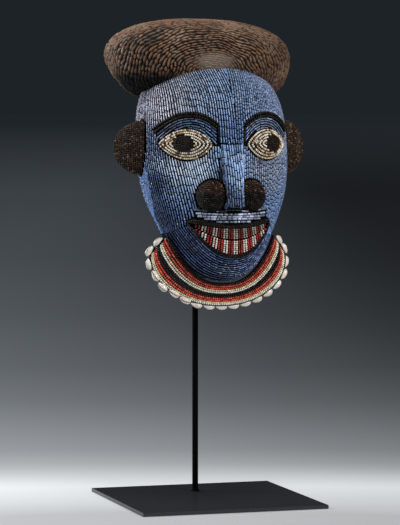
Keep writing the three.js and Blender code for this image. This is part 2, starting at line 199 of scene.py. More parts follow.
# The blue of the beads, matched to the photograph's averages over areas of the face; some rows below also
# hold painted shade
# Each row is a place in words, its x and z in the front view, how far its blue reaches, and the blue
BLUE_PLACES = (
    ("left temple", -92, 548, 24, "#C6C0D0"),
    ("forehead, upper left", -62, 580, 26, "#868490"),
    ("forehead, left of the middle", -25, 565, 30, "#97A8C8"),
    ("forehead, right of the middle", 15, 565, 30, "#8CA2CA"),
    ("forehead, upper right", 62, 568, 34, "#8592B8"),
    ("between the brows", 0, 512, 22, "#6884B6"),
    ("ridge of the nose", 0, 460, 20, "#AAC4F0"),
    ("under the left eye", -58, 457, 22, "#CFDCF2"),
    ("left cheek", -55, 418, 20, "#7C98C6"),
    # Painted shade: the next two blues are darkened for the left side of the lower face, which faces down
    # and away from the key lamp
    ("left of the mouth", -62, 388, 20, "#4C5F8C"),
    ("left cheek, outer side", -88, 440, 12, "#4A5C88"),
    ("outside the left eye", -94, 490, 18, "#8494BA"),
    ("under the right eye", 60, 457, 24, "#A2ABC8"),
    ("right cheek", 74, 408, 26, "#7E98C8"),
    ("right cheek, outer side", 92, 450, 16, "#7C8CB4"),
    # Painted shade: these three blues are darkened for the shade on the nose's left wall and under its tip
    ("left wall of the nose", -16, 455, 8, "#1E2946"),
    ("left wall of the nose, lower down", -16, 430, 8, "#1C2640"),
    ("tip of the nose", 0, 414, 11, "#4F648E"),
    # Painted shade: the jaw and chin blues are darkened because these parts face down
    ("left jaw", -52, 340, 24, "#54689A"),
    ("right jaw", 52, 345, 22, "#4E6190"),
    ("chin", 0, 318, 22, "#43547A"),
    # Painted shade: this blue is darkened for the brow's shadow
    ("under the left brow", -53, 513, 13, "#6D87B8"),
    ("under the right brow", 53, 513, 13, "#9AA6C6"),
)

# Stage: the paper's painted glow, a pool of light as greys against the logarithm of the distance, matched to
# the photograph's rows
VIEW_TURN = math.radians(-17.33)
POOL_CENTRE = (-0.09, -0.286, 0)
POOL_STRETCH = 2.2
PAINTED_FLOOR_GLOW = (
    (0.10, "#8A8C8E"), (0.24, "#C4C8CB"), (0.28, "#B8BCBF"), (0.348, "#8E9296"), (0.446, "#666A6E"),
    (0.50, "#54585C"), (0.58, "#43474B"), (0.66, "#383C40"), (0.758, "#303438"), (0.85, "#2A2E32"),
    (0.985, "#20252A"),
)
FLOOR_REACH = (60, 60000)
FLOOR_RINGS = 24
FLOOR_TURNS = 96
FLOOR_SINK = 0.3

# Each lamp's name, place in metres, size, power and colour
LAMP_TARGET = (0, 0, 0.46)
LAMPS = (
    ("key", (1.0, -2.2, 1.6), 0.6, 42, "#FFFAF4"),
    ("top", (0, -0.7, 2.5), 0.7, 20, "#FFFFFF"),
    ("rim_left", (-1.7, 0.9, 1.1), 0.8, 32, "#FFFFFF"),
    ("rim_top", (-0.4, 1.5, 2.0), 0.9, 10, "#FFFFFF"),
)

# Camera, fitted to the square plate and the rod
CAMERA_PLACE = (-1.2130, -3.8520, 0.5659)
CAMERA_PITCH = math.radians(90 - 3.38)
LENS = 202.5
FILM_WIDTH = 36
VIEW_END = 200

SIDES = (("left", -1), ("right", 1))


def linear(code):
    """An sRGB hex colour as linear red, green, blue, alpha: ((c + 0.055) / 1.055) ^ 2.4 above the toe."""
    parts = [int(code[i:i + 2], 16) / 255 for i in (1, 3, 5)]
    return tuple(c / 12.92 if c <= 0.04045 else ((c + 0.055) / 1.055) ** 2.4 for c in parts) + (1.0,)


def length_setting(name, description, millimetres):
    """A length setting in the scene's metres."""
    return bpy.props.FloatProperty(name=name, description=description, default=millimetres * MM,
                                   unit="LENGTH")


def colour_setting(name, description, code):
    """A colour setting with its default from a hex value."""
    return bpy.props.FloatVectorProperty(name=name, description=description, default=linear(code)[:3],
                                         size=3, min=0, max=1, subtype="COLOR")


class MaskSizes(bpy.types.PropertyGroup):
    """Sizes of the beads, the carving and the shells."""
    bugle_radius: length_setting("Bugle radius", "Radius of the long blue beads", 1.0)
    bugle_gap: length_setting("Bugle gap", "Bare thread between two long beads", 1.25)
    seed_radius: length_setting("Seed radius", "Radius of the round beads", 1.5)
    grain_depth: length_setting("Grain depth", "Height of the coiffure's carved grains", 3.4)
    cowrie_length: length_setting("Cowrie length", "Length of one shell", 16.2)
    cowrie_width: length_setting("Cowrie width", "Width of one shell", 9.0)
    cowrie_height: length_setting("Cowrie height", "Height of one shell's dome", 5)


class MaskColours(bpy.types.PropertyGroup):
    """Colours of the beads, the wood, the shells, the cloth and the steel."""
    wood: colour_setting("Wood", "Middle brown of the carved crests", "#80604A")
    # This colour also paints shade on the coiffure's underside at the front left and on its right front
    wood_groove_and_shade: colour_setting("Groove", "Soot in the carved grooves", "#0A0604")
    wood_worn: colour_setting("Worn wood", "Grey of the handled patch above the forehead", "#5C554D")
    # Partly painted shade: the cloth is nearly black so that the gaps between the beads read as deep shade
    cloth: colour_setting("Cloth", "Backing cloth between the beads", "#0A090B")
    black: colour_setting("Black", "Lips, brows and the collar's dark rows", "#17120F")
    brown: colour_setting("Brown", "Ears and nostrils", "#3E2E24")
    red: colour_setting("Red", "Red rows of the collar", "#D85A48")
    teeth_red: colour_setting("Teeth red", "Red beads of the teeth", "#B0302A")
    cream: colour_setting("Cream", "Cream rows of the collar and eyes", "#F2E2B8")
    white: colour_setting("White", "White rows of the collar and teeth", "#FBF8EE")
    lip_strip: colour_setting("Lip strip", "Pale blue beads above the upper lip", "#98A4BE")
    strip: colour_setting("Side strip", "Clear blue beads down the left side of the face", "#8DB4F4")
    shell: colour_setting("Shell", "Ivory of the cowries", "#FBF6EA")
    plate: colour_setting("Plate", "Coat of the base plate", "#2A2C2F")
    rod: colour_setting("Rod", "Coat of the rod", "#030405")


def size_settings():
    """The size settings of the scene."""
    return bpy.context.scene.mask_sizes


def solid(part, level=1.0):
    """A colour setting as red, green, blue and alpha, lightened or darkened by a level."""
    channels = getattr(bpy.context.scene.mask_colours, part)
    return tuple(min(level * channel, 1.0) for channel in channels) + (1.0,)


def kin(part, *levels):
    """Shades of one colour setting as rows of a colour table, one for each level."""
    return np.array([solid(part, level)[:3] for level in levels])


def shades(*codes):
    """Several hex colours as rows of a linear colour table."""
    return np.array([linear(code)[:3] for code in codes])


def ease(low, high, x):
    """Smooth step: 3t^2 - 2t^3, with t running from 0 at low to 1 at high."""
    t = np.clip((np.asarray(x, float) - low) / (high - low), 0, 1)
    return t * t * (3 - 2 * t)


def bell(x, spread):
    """exp(-(x / spread)^2)."""
    return np.exp(-(np.asarray(x, float) / spread) ** 2)


def ramp(x, low, high, first, last):
    """Straight line from first at low to last at high."""
    return first + (last - first) * (x - low) / (high - low)


def signed_power(value, k):
    """A power that keeps the sign: sign(v) * |v|^k."""
    return np.sign(value) * np.abs(value) ** k


def unit(v):
    """Vectors cut to length 1."""
    return v / np.maximum(np.linalg.norm(v, axis=-1, keepdims=True), 1e-9)


def run_length(points):
    """Running length along a line of points."""
    return np.concatenate([[0], np.cumsum(np.linalg.norm(np.diff(points, axis=0), axis=1))])


# The face as a height over the front view

def rim_y(z):
    """The open back lies in one leaning plane: y = RIM_Y + (z - mid) * tilt."""
    return RIM_Y + (z - FACE_MID_Z) * RIM_TILT


def height_share(z):
    """Height above the middle as a share of the reach to the crown or the chin."""
    return np.where(z > FACE_MID_Z, (z - FACE_MID_Z) / (FACE_TOP_Z - FACE_MID_Z),
                    (z - FACE_MID_Z) / (FACE_MID_Z - FACE_CHIN_Z))


def height_at(share):
    """The height that has this share."""
    return FACE_MID_Z + share * np.where(share > 0, FACE_TOP_Z - FACE_MID_Z, FACE_MID_Z - FACE_CHIN_Z)


def outline_half(share):
    """Half width: sqrt(1 - s^3) above the middle, sqrt(1 - s^2) below it, less a bell at the jaw."""
    rise = np.abs(share)
    above = np.sqrt(np.maximum(1 - rise ** 3, 0))
    below = (1 - JAW_TAPER * bell(rise - JAW_TAPER_AT, 0.2)) * np.sqrt(np.maximum(1 - rise ** 2, 0))
    return FACE_HALF_WIDTH * np.where(share > 0, above, below)


def middle_depth(share, z):
    """Depth in front of the rim on the midline: full * (1 - |s|^k)^(1/k), k by crown or chin."""
    full = JAW_DEPTH + (FOREHEAD_DEPTH - JAW_DEPTH) * ease(390, 530, z)
    power = np.where(share > 0, CROWN_POWER, CHIN_POWER)
    return full * np.maximum(1 - np.abs(share) ** power, 0) ** (1 / power)


def brow_line(x):
    """Arc of the brow: z = top - drop * |along|^2.2."""
    return BROW_Z - BROW_DROP * np.abs((np.abs(x) - BROW_X) / BROW_HALF_LENGTH) ** 2.2


def nose_half(z):
    """Half width of the nose, a straight taper."""
    return ramp(z, NOSE_TOP_Z, NOSE_TIP_Z, NOSE_TOP_HALF, NOSE_TIP_HALF)


def nose_share(x, z):
    """1 on the nose and 0 off it, with a short edge."""
    run = ease(NOSE_TOP_Z + 2, NOSE_TOP_Z - 3, z) * ease(NOSE_TIP_Z - 4, NOSE_TIP_Z + 1, z)
    half = nose_half(z)
    return run * ease(half + NOSE_EDGE * 0.7, half - NOSE_EDGE * 0.3, np.abs(x))


def relief(x, z):
    """Brow, eye socket, eyeball, nose, lip shelf and muzzle, summed as heights over the plain form."""
    side = np.abs(x)
    reach = ease(BROW_X + BROW_HALF_LENGTH + 8, BROW_X + BROW_HALF_LENGTH - 8, side)
    brow = BROW_RISE * bell(z - brow_line(x), BROW_SPREAD) * reach * ease(2, 34, side)
    u = (side - EYE_X) / EYE_HALF_LENGTH
    v = (z - EYE_Z) / EYE_HALF_HEIGHT
    socket = -SOCKET_DEPTH * np.exp(-((u / 1.25) ** 4) - (((z - EYE_Z - 4) / 33) ** 4))
    ball = EYE_BULGE * np.maximum(1 - u * u - v * v, 0) ** 0.8
    on_nose = nose_share(x, z)
    nose = ramp(z, NOSE_TOP_Z, NOSE_TIP_Z, NOSE_TOP_RISE, NOSE_TIP_RISE) * on_nose
    shelf = SHELF_RISE * bell(z - SHELF_Z, 6) * ease(SHELF_HALF + 8, SHELF_HALF - 8, side)
    muzzle_r = np.hypot(side / MUZZLE_HALF_WIDTH, (z - MUZZLE_Z) / MUZZLE_HALF_HEIGHT)
    return brow + socket + ball + nose + shelf * (1 - on_nose) + MUZZLE_RISE * ease(1.15, 0.7, muzzle_r)


def face_y(x, z, carved=1.0):
    """y = rim - depth * (1 - |a|^n)^(1/n) - relief, where a is the share of the half width."""
    share = height_share(z)
    across = np.clip(np.abs(x) / np.maximum(outline_half(share), 1e-6), 0, 1)
    curve = np.maximum(1 - across ** SECTION_POWER, 0) ** (1 / SECTION_POWER)
    return rim_y(z) - middle_depth(share, z) * curve - carved * relief(x, z) * ease(0, 0.45, curve)


def on_face(x, z):
    """Points of the face over places in the front view, and the normals from differences of face_y."""
    x, z = np.broadcast_arrays(np.asarray(x, float), np.asarray(z, float))
    d = 0.3
    slope_x = (face_y(x + d, z) - face_y(x - d, z)) / (2 * d)
    slope_z = (face_y(x, z + d) - face_y(x, z - d)) / (2 * d)
    normals = unit(np.stack([slope_x, -np.ones_like(x), slope_z], -1))
    return np.stack([x, face_y(x, z), z], -1), normals


def net_point(p, q):
    """A square net pressed onto a disc: x = p sqrt(1 - q^2/2), z = q sqrt(1 - p^2/2), spread by a sine."""
    x = p * np.sqrt(1 - q * q / 2)
    z = q * np.sqrt(1 - p * p / 2)
    r = np.maximum(np.hypot(x, z), 1e-9)
    spread = np.sin(np.minimum(r, 1) * np.pi / 2) / r
    share = z * spread
    across = np.clip(x * spread / np.sqrt(np.maximum(1 - share * share, 1e-12)), -1, 1)
    height = height_at(share)
    half = outline_half(share) * across
    curve = np.maximum(1 - np.abs(across) ** SECTION_POWER, 0) ** (1 / SECTION_POWER)
    y = rim_y(height) - middle_depth(share, height) * curve - relief(half, height) * ease(0, 0.45, curve)
    return np.stack([half, y, height], -1)


def face_net(columns, rows, reach, lift):
    """A grid of net points, each moved along the net's normal by lift."""
    p, q = np.meshgrid(np.linspace(-reach, reach, columns + 1), np.linspace(-reach, reach, rows + 1))
    step = 0.004
    along_p = net_point(0.98 * p + step, 0.98 * q) - net_point(0.98 * p - step, 0.98 * q)
    along_q = net_point(0.98 * p, 0.98 * q + step) - net_point(0.98 * p, 0.98 * q - step)
    return net_point(p, q) + unit(np.cross(along_p, along_q)) * lift


# Meshes from whole arrays

def grid_faces(rows, columns, wrap=False, flip=False, first=0):
    """Quads of a grid whose points run along the columns first."""
    j, i = np.meshgrid(np.arange(rows - 1), np.arange(columns if wrap else columns - 1), indexing="ij")
    k = (i + 1) % columns
    quads = np.stack([j * columns + i, j * columns + k, (j + 1) * columns + k, (j + 1) * columns + i], -1)
    quads = quads.reshape(-1, 4) + first
    return quads[:, ::-1] if flip else quads


def edge_ring(rows, columns):
    """Indices once round the edge of a grid, in the direction that its quads turn."""
    i = np.arange(columns)
    j = np.arange(rows)
    sides = [i[:-1], j[:-1] * columns + columns - 1, (rows - 1) * columns + i[:0:-1], j[:0:-1] * columns]
    return np.concatenate(sides)


def bare_mesh(name, points, faces):
    """A mesh from points in millimetres and lists of faces that may mix triangles, quads and caps."""
    faces = [np.asarray(f) for f in faces if len(f)]
    sizes = np.concatenate([np.full(len(f), f.shape[1]) for f in faces])
    corners = np.concatenate([f.reshape(-1) for f in faces])
    starts = np.concatenate([[0], np.cumsum(sizes)[:-1]])
    mesh = bpy.data.meshes.new(name)
    mesh.vertices.add(len(points))
    mesh.vertices.foreach_set("co", (np.asarray(points).reshape(-1, 3) * MM).astype(np.float32).ravel())
    mesh.loops.add(len(corners))
    mesh.loops.foreach_set("vertex_index", corners.astype(np.int32))
    mesh.polygons.add(len(sizes))
    mesh.polygons.foreach_set("loop_start", starts.astype(np.int32))
    mesh.update(calc_edges=True)
    mesh.validate()
    return mesh


def smooth(mesh, on=True):
    """Smooth or flat shading for every face."""
    mesh.polygons.foreach_set("use_smooth", np.full(len(mesh.polygons), on))


def paint(mesh, name, colours):
    """A colour for each point, kept as an attribute that the materials read."""
    layer = mesh.attributes.new(name, "FLOAT_COLOR", "POINT")
    table = np.ones((len(mesh.vertices), 4), np.float32)
    table[:, :3] = colours
    layer.data.foreach_set("color", table.ravel())


def shell_of(front, back, name):
    """A closed layer between two grids of the same size, stitched round their edges."""
    rows, columns = front.shape[:2]
    count = rows * columns
    ring = edge_ring(rows, columns)
    band = np.stack([np.roll(ring, -1), ring, ring + count, np.roll(ring, -1) + count], -1)
    points = np.concatenate([front.reshape(-1, 3), back.reshape(-1, 3)])
    faces = [grid_faces(rows, columns), grid_faces(rows, columns, flip=True, first=count), band]
    return bare_mesh(name, points, faces)


def capped_rings(name, points, columns):
    """Rings of points, each joined to the next, whose ends are closed by fans to the last two points."""
    rows = (len(points) - 2) // columns
    ring = np.arange(columns)
    after = (ring + 1) % columns
    last = (rows - 1) * columns
    low = np.stack([after, ring, np.full(columns, rows * columns)], -1)
    high = np.stack([ring + last, after + last, np.full(columns, rows * columns + 1)], -1)
    return bare_mesh(name, points, [grid_faces(rows, columns, wrap=True), low, high])


def thing(name, mesh, slot, *nodes, finish=None):
    """A finished piece at the origin: it rides on the root and may stand for CAD nodes, which it hides.

    Its finish is the slot's own material unless another is named."""
    piece = bpy.data.objects.new(name, mesh)
    bpy.context.scene.collection.objects.link(piece)
    piece.data.materials.clear()
    piece.data.materials.append(material_of(finish or slot))
    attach(piece, "root")
    if nodes:
        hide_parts(*nodes)
    return piece


def carve(mesh, *steps):
    """Boolean steps on a closed mesh, each a pair of a word and another closed mesh, applied in order."""
    base = bpy.data.objects.new("carving", mesh)
    bpy.context.scene.collection.objects.link(base)
    cutters = []
    for word, other in steps:
        cutter = bpy.data.objects.new("cutter", other)
        bpy.context.scene.collection.objects.link(cutter)
        cutters.append(cutter)
        modifier = base.modifiers.new(word, "BOOLEAN")
        modifier.operation = word
        modifier.solver = "MANIFOLD"
        modifier.object = cutter
    bpy.context.view_layer.update()
    evaluated = base.evaluated_get(bpy.context.evaluated_depsgraph_get())
    result = bpy.data.meshes.new_from_object(evaluated)
    for spent in [base, *cutters]:
        bpy.data.objects.remove(spent)
    return result


def joined(name, *meshes):
    """Closed meshes put together as one, with the tint attribute kept."""
    points = []
    faces = []
    tints = []
    first = 0
    for mesh in meshes:
        co = np.empty(len(mesh.vertices) * 3, np.float32)
        mesh.vertices.foreach_get("co", co)
        sizes = np.empty(len(mesh.polygons), np.int32)
        mesh.polygons.foreach_get("loop_total", sizes)
        starts = np.empty(len(mesh.polygons), np.int32)
        mesh.polygons.foreach_get("loop_start", starts)
        corners = np.empty(len(mesh.loops), np.int32)
        mesh.loops.foreach_get("vertex_index", corners)
        for size in np.unique(sizes):
            chosen = starts[sizes == size][:, None] + np.arange(size)
            faces.append(corners[chosen] + first)
        tint = np.zeros((len(mesh.vertices), 4), np.float32)
        if "tint" in mesh.attributes:
            flat = np.empty(len(mesh.vertices) * 4, np.float32)
            mesh.attributes["tint"].data.foreach_get("color", flat)
            tint = flat.reshape(-1, 4)
        points.append(co.reshape(-1, 3) / MM)
        tints.append(tint[:, :3])
        first += len(mesh.vertices)
    whole = bare_mesh(name, np.concatenate(points), faces)
    paint(whole, "tint", np.concatenate(tints))
    smooth(whole)
    return whole


# Beads threaded along paths

def threaded(points, normals, keep, lengths, rng, least=0.6):
    """Beads end to end along a path, cut at the running sum of drawn lengths.

    The cuts are scaled to fill each run that keep allows. Each bead is its start, its end and its normal."""
    keep = np.asarray(keep, bool)
    arc = run_length(points)
    edges = np.flatnonzero(np.diff(np.concatenate([[0], keep.astype(np.int8), [0]]))).reshape(-1, 2)
    mean = (lengths[0] + lengths[1]) / 2
    cuts = []
    for first, last in edges:
        run = arc[last - 1] - arc[first]
        if run < least * lengths[0]:
            continue
        drawn = rng.uniform(lengths[0], lengths[1], int(run / lengths[0]) + 3)
        count = max(1, int(np.searchsorted(np.cumsum(drawn), run + mean / 2)))
        share = np.concatenate([[0], np.cumsum(drawn[:count])]) / drawn[:count].sum()
        cut = arc[first] + run * share
        cuts.append(np.stack([cut[:-1], cut[1:]], -1))
    if not cuts:
        return np.zeros((0, 3, 3))
    cuts = np.concatenate(cuts)

    def at(values, places):
        """Straight-line values at places along the arc."""
        return np.stack([np.interp(places, arc, values[:, k]) for k in range(3)], -1)

    return np.stack([at(points, cuts[:, 0]), at(points, cuts[:, 1]), unit(at(normals, cuts.mean(1)))], 1)


def sunk(beads, lift):
    """Threaded beads moved along their normals."""
    moved = beads.copy()
    moved[:, :2] += beads[:, 2:3] * lift
    return moved


def bead_mesh(name, beads, radii, profile, sides, colours, space=0.25):
    """Beads as profiles turned round their threads.

    point = centre + axis length t + (side cos a + up sin a) radius r, for each (t, r) of the profile."""
    starts, ends, normals = beads[:, 0], beads[:, 1], beads[:, 2]
    length = np.linalg.norm(ends - starts, axis=1)
    axis = (ends - starts) / np.maximum(length, 1e-6)[:, None]
    side = unit(np.cross(normals, axis))
    up = np.cross(axis, side)
    t, r = np.array(profile).T
    turn = 2 * np.pi * (np.arange(sides) + 0.5) / sides
    ring = side[:, None] * np.cos(turn)[None, :, None] + up[:, None] * np.sin(turn)[None, :, None]
    run = np.maximum(length - space, 0.4 * length)
    spine = ((starts + ends) / 2)[:, None] + axis[:, None] * (t[None] * run[:, None])[..., None]
    reach = np.broadcast_to(radii, len(beads))[:, None] * r[None]
    points = spine[:, :, None] + ring[:, None] * reach[..., None, None]
    count = len(t) * sides
    first = (np.arange(len(beads)) * count)[:, None, None]
    sides_quads = (grid_faces(len(t), sides, wrap=True)[None] + first).reshape(-1, 4)
    cap = np.arange(sides)
    low = (cap[::-1][None, None] + first).reshape(-1, sides)
    high = (cap[None, None] + first + count - sides).reshape(-1, sides)
    mesh = bare_mesh(name, points.reshape(-1, 3), [sides_quads, low, high])
    paint(mesh, "tint", np.repeat(colours, count, axis=0))
    smooth(mesh)
    return mesh


def mixed(table, weights, rng, spread=0.12):
    """One colour for each bead: a draw from the table by its weights, times exp(spread * a normal draw)."""
    weights = np.clip(weights, 0, None)
    total = np.cumsum(weights / np.maximum(weights.sum(-1, keepdims=True), 1e-9), -1)
    drawn = (rng.random(len(weights))[:, None] > total[:, :-1]).sum(-1)
    return table[drawn] * np.exp(rng.normal(0, spread, len(weights)))[:, None]


# Places on the mask that one kind of beadwork holds

def almond(x, z, centre_x, centre_z, half_length, half_height):
    """Below 1 inside a pointed almond: |v| over (1 - u^2)^k."""
    u = (x - centre_x) / half_length
    v = (z - centre_z) / half_height
    return np.where(np.abs(u) < 1, np.abs(v) / np.maximum(1 - u * u, 1e-6) ** EYE_POINT, 9)


def in_eye(x, z, grow):
    """Inside either eye, grown by some millimetres."""
    near = np.abs(x - EYE_SHIFT)
    return almond(near, z, EYE_X, EYE_Z, EYE_HALF_LENGTH + grow, EYE_HALF_HEIGHT + grow) < 1


def in_pupil(word, x, z, grow):
    """Inside a pupil, an ellipse grown by some millimetres; x is the distance from the eyes' midline."""
    u = (x - PUPIL_X[word]) / (PUPIL_HALF_LENGTH[word] + grow)
    v = (z - EYE_Z - 1) / (PUPIL_HALF_HEIGHT + grow)
    return u * u + v * v < 1


def brow_end(z):
    """The slanting line from the brow's outer end down to the eye's outer corner."""
    return BROW_X + BROW_HALF_LENGTH - 0.4 * np.clip(BROW_Z - BROW_DROP - z, 0, 20)


def under_brow(x, z, grow):
    """From the top of the brow band down to the eye's corners."""
    side = np.abs(x)
    wide = (side > BROW_TAIL[0] - grow) & (side < brow_end(z) + grow)
    return wide & (z < brow_line(x) + BROW_HALF_BAND + grow) & (z > EYE_Z - 2)


def lip_top(x):
    """Upper edge of the mouth: corner height + dip * (2.4 n^2 - 2.6 n^8) - sag * (1 - n^2)^2."""
    near = np.abs(x) / MOUTH_HALF
    curve = LIP_TOP_DIP * ((2 * near) ** 2 * 0.6 - near ** 8 * 2.6)
    return MOUTH_CORNER_Z + curve - LIP_TOP_SAG * np.maximum(1 - near ** 2, 0) ** 2


def lip_bottom(x):
    """Lower edge of the mouth: a power curve up to the corners."""
    return LIP_BOTTOM_Z + (MOUTH_CORNER_Z - LIP_BOTTOM_Z) * (np.abs(x) / MOUTH_HALF) ** 2.2


def teeth_top(x):
    """Upper edge of the upper teeth."""
    return TEETH_TOP_Z + TEETH_TOP_RISE * (x / TEETH_HALF) ** 2


def teeth_divide(x):
    """The line between the rows of teeth."""
    return TEETH_DIVIDE_Z + TEETH_DIVIDE_RISE * (x / TEETH_HALF) ** 2


def teeth_bottom(x):
    """Lower edge of the lower teeth."""
    return TEETH_BOTTOM_Z + TEETH_BOTTOM_RISE * (x / TEETH_HALF) ** 2


def in_mouth(x, z, grow):
    """Inside the lips' outer edge, grown by some millimetres."""
    wide = np.abs(x) < MOUTH_HALF + grow
    inner = np.clip(x, -MOUTH_HALF, MOUTH_HALF)
    return wide & (z < lip_top(inner) + grow) & (z > lip_bottom(inner) - grow)


def collar_line(x):
    """The collar's inner edge in the front view: z = bottom + rise * |x / half|^2.5."""
    return COLLAR_INNER_Z + (COLLAR_END_Z - COLLAR_INNER_Z) * (np.abs(x) / COLLAR_INNER_HALF) ** 2.5


def on_jaw(x, z):
    """Below the line from the corners of the mouth out to the ends of the collar."""
    border = ramp(np.abs(x), MOUTH_HALF - 2, COLLAR_INNER_HALF, MOUTH_CORNER_Z - 3, COLLAR_END_Z + 5)
    return (z < np.minimum(border, MOUTH_CORNER_Z)) & ~in_mouth(x, z, 0)


def on_shelf(x, z):
    """The strip above the upper lip."""
    return (np.abs(x) < SHELF_HALF) & (z > lip_top(np.clip(x, -50, 50))) & (z < NOSE_TIP_Z - 2)


def in_nostril(x, y, z, grow):
    """Inside either nostril's ball."""
    gap = np.stack([np.abs(x) - NOSTRIL[0], y - NOSTRIL[1], z - NOSTRIL[2]], -1)
    return np.linalg.norm(gap, axis=-1) < NOSTRIL_RADIUS + grow


def cushion_level(points, radii, plan, up, down):
    """Below 1 inside a cushion: (|x|^plan + |y|^plan)^(power / plan) + |z|^power, power by up or down."""
    rx, ry, r_up, r_down = radii
    x, y = np.abs(points[..., 0]) / rx, np.abs(points[..., 1]) / ry
    z = points[..., 2]
    power = np.where(z > 0, up, down)
    return (x ** plan + y ** plan) ** (power / plan) + np.abs(z / np.where(z > 0, r_up, r_down)) ** power


def hair_down_power(points):
    """The coiffure's lower power: full in front, slack behind."""
    across, deep = points[..., 0] / HAIR_X, points[..., 1] / HAIR_Y
    turn = deep / np.maximum(np.hypot(across, deep), 1e-9)
    return HAIR_FRONT_POWER + (HAIR_BACK_POWER - HAIR_FRONT_POWER) * ease(-0.3, 0.5, turn)


def dipped(points, angle):
    """x' = x cos a + z sin a, z' = z cos a - x sin a."""
    c, s = math.cos(angle), math.sin(angle)
    x, y, z = points[..., 0], points[..., 1], points[..., 2]
    return np.stack([c * x + s * z, y, -s * x + c * z], -1)


def to_hair(points):
    """Points in the coiffure's own frame, before its dip."""
    return dipped(points - np.array(HAIR_CENTRE), -HAIR_DIP)


def from_hair(points):
    """Points of the coiffure's own frame in the mask's frame."""
    return dipped(points, HAIR_DIP) + np.array(HAIR_CENTRE)


def in_hair(points, grow):
    """Inside the coiffure, grown by some millimetres."""
    own = to_hair(points)
    radii = (HAIR_X + grow, HAIR_Y + grow, HAIR_UP + grow, HAIR_DOWN + grow)
    return cushion_level(own, radii, HAIR_PLAN_POWER, HAIR_UP_POWER, hair_down_power(own)) < 1


def ear_frame(side):
    """Centre and turned axes of an ear: out along the reach, back through the thickness, and up."""
    turn = side * EAR_LEAN
    out = np.array([math.cos(turn), math.sin(turn), 0])
    back = np.array([-math.sin(turn), math.cos(turn), 0])
    centre = np.array([side * (EAR_ROOT[0] - EAR_HALF_THICK * math.sin(EAR_LEAN)),
                       EAR_ROOT[1] + EAR_HALF_THICK * math.cos(EAR_LEAN), EAR_ROOT[2]])
    return centre, out, back, np.array([0, 0, 1.0])


def in_ear(points, grow):
    """Inside either ear, grown by some millimetres."""
    inside = np.zeros(points.shape[:-1], bool)
    for side in (-1, 1):
        centre, out, back, up = ear_frame(side)
        moved = points - centre
        own = np.stack([moved @ out, moved @ back, moved @ up], -1)
        radii = (EAR_REACH + grow, EAR_HALF_THICK + grow, EAR_HALF_HEIGHT + grow, EAR_HALF_HEIGHT + grow)
        inside |= cushion_level(own, radii, EAR_PLAN_POWER, EAR_UP_POWER, EAR_UP_POWER) < 1
    return inside


def in_head(points, grow):
    """Inside the filled face form in front of its rim, grown by some millimetres."""
    x, y, z = points[..., 0], points[..., 1], points[..., 2]
    share = height_share(z)
    wide = np.abs(x) < outline_half(np.clip(share, -1, 1))
    return wide & (y > face_y(x, z) - grow) & (y < rim_y(z)) & (np.abs(share) < 1)


# Beadwork on the face

def section_table(carved):
    """Rows of face points at even heights, with the arc length from the midline along each section."""
    z = np.arange(FACE_CHIN_Z + 0.5, FACE_TOP_Z - 1, 0.5)[:, None]
    turn = np.linspace(-np.pi / 2, np.pi / 2, 1401)[None]
    x = outline_half(height_share(z)) * np.sin(turn)
    y = face_y(x, z, carved)
    step = np.hypot(np.diff(x, axis=1), np.diff(y, axis=1))
    arc = np.concatenate([np.zeros((len(z), 1)), np.cumsum(step, axis=1)], axis=1)
    return z[:, 0], x, arc - arc[:, 700:701]


def columns_on(table, places):
    """x of each column at each height, from its arc length there."""
    _, x, arc = table
    found = np.array([np.interp(s, a, row, left=np.nan, right=np.nan) for s, a, row in zip(places, arc, x)])
    return found.T


def column_beads(table, even, sway, allowed, lengths, shared=0.0):
    """Beads down upright columns at even arc lengths plus a sway, where allowed(x, z, arc, points) holds.

    The shared part of the columns take their lengths in threes, so that some joints fall level."""
    z = table[0]
    places = even[None] + sway[:, None]
    xs = columns_on(table, places)
    beads = []
    for index, (x, place) in enumerate(zip(xs, places.T)):
        fine = np.isfinite(x)
        if fine.sum() < 12:
            continue
        points, normals = on_face(x[fine], z[fine])
        keep = allowed(x[fine], z[fine], place[fine], points)
        alone = np.random.default_rng(1000 + index)
        beads.append(threaded(points, normals, keep, lengths,
                              np.random.default_rng(index // 3) if alone.random() < shared else alone))
    return np.concatenate(beads)


def off_features(x, z, points):
    """Face cloth outside the eyes, brows, nose, mouth, jaw, lip strip, nostrils, ears and hair."""
    on_nose = (z < NOSE_TOP_Z - 1.5) & (z > SHELF_Z)
    free = ~in_eye(x, z, 1.2) & ~under_brow(x, z, 0.6) & ~in_mouth(x, z, 0.8)
    free &= ~on_jaw(x, z + 1.5) & ~on_shelf(x, z)
    free &= np.abs(x) > np.where(on_nose, nose_half(z) + 3.4, -1)
    free &= ~in_nostril(points[:, 0], points[:, 1], points[:, 2], 1.2)
    return free & ~in_ear(points, 0.5) & ~in_hair(points, -3.5)


def share_across(x, z):
    """Distance from the midline as a share of the half width."""
    return np.abs(x) / outline_half(height_share(z))


def strip_from(z):
    """Where the strip along each side starts, as a share of the half width: widest below the ears."""
    return STRIP_FROM + 0.035 * (ease(428, 385, z) + ease(452, 478, z))


def left_columns():
    """Long bugles left of the seam, leaning out at the hairline and in to the mouth below the eye."""
    table = section_table(0.0)
    even = (np.arange(-62, 22) + 0.5) * BUGLE_PITCH
    even = np.where(even < -TEMPLE_AT, -TEMPLE_AT + (even + TEMPLE_AT) * TEMPLE_SPREAD, even)
    sway = CHEEK_LEAN * ease(488, 380, table[0]) - LEFT_LEAN * ease(550, 612, table[0])

    def allowed(x, z, place, points):
        """Off the features, left of the seam and inside the side strip."""
        return off_features(x, z, points) & (place < SEAM - 0.4) & (share_across(x, z) < strip_from(z))

    return column_beads(table, even, sway, allowed, (7, 14), shared=0.6)


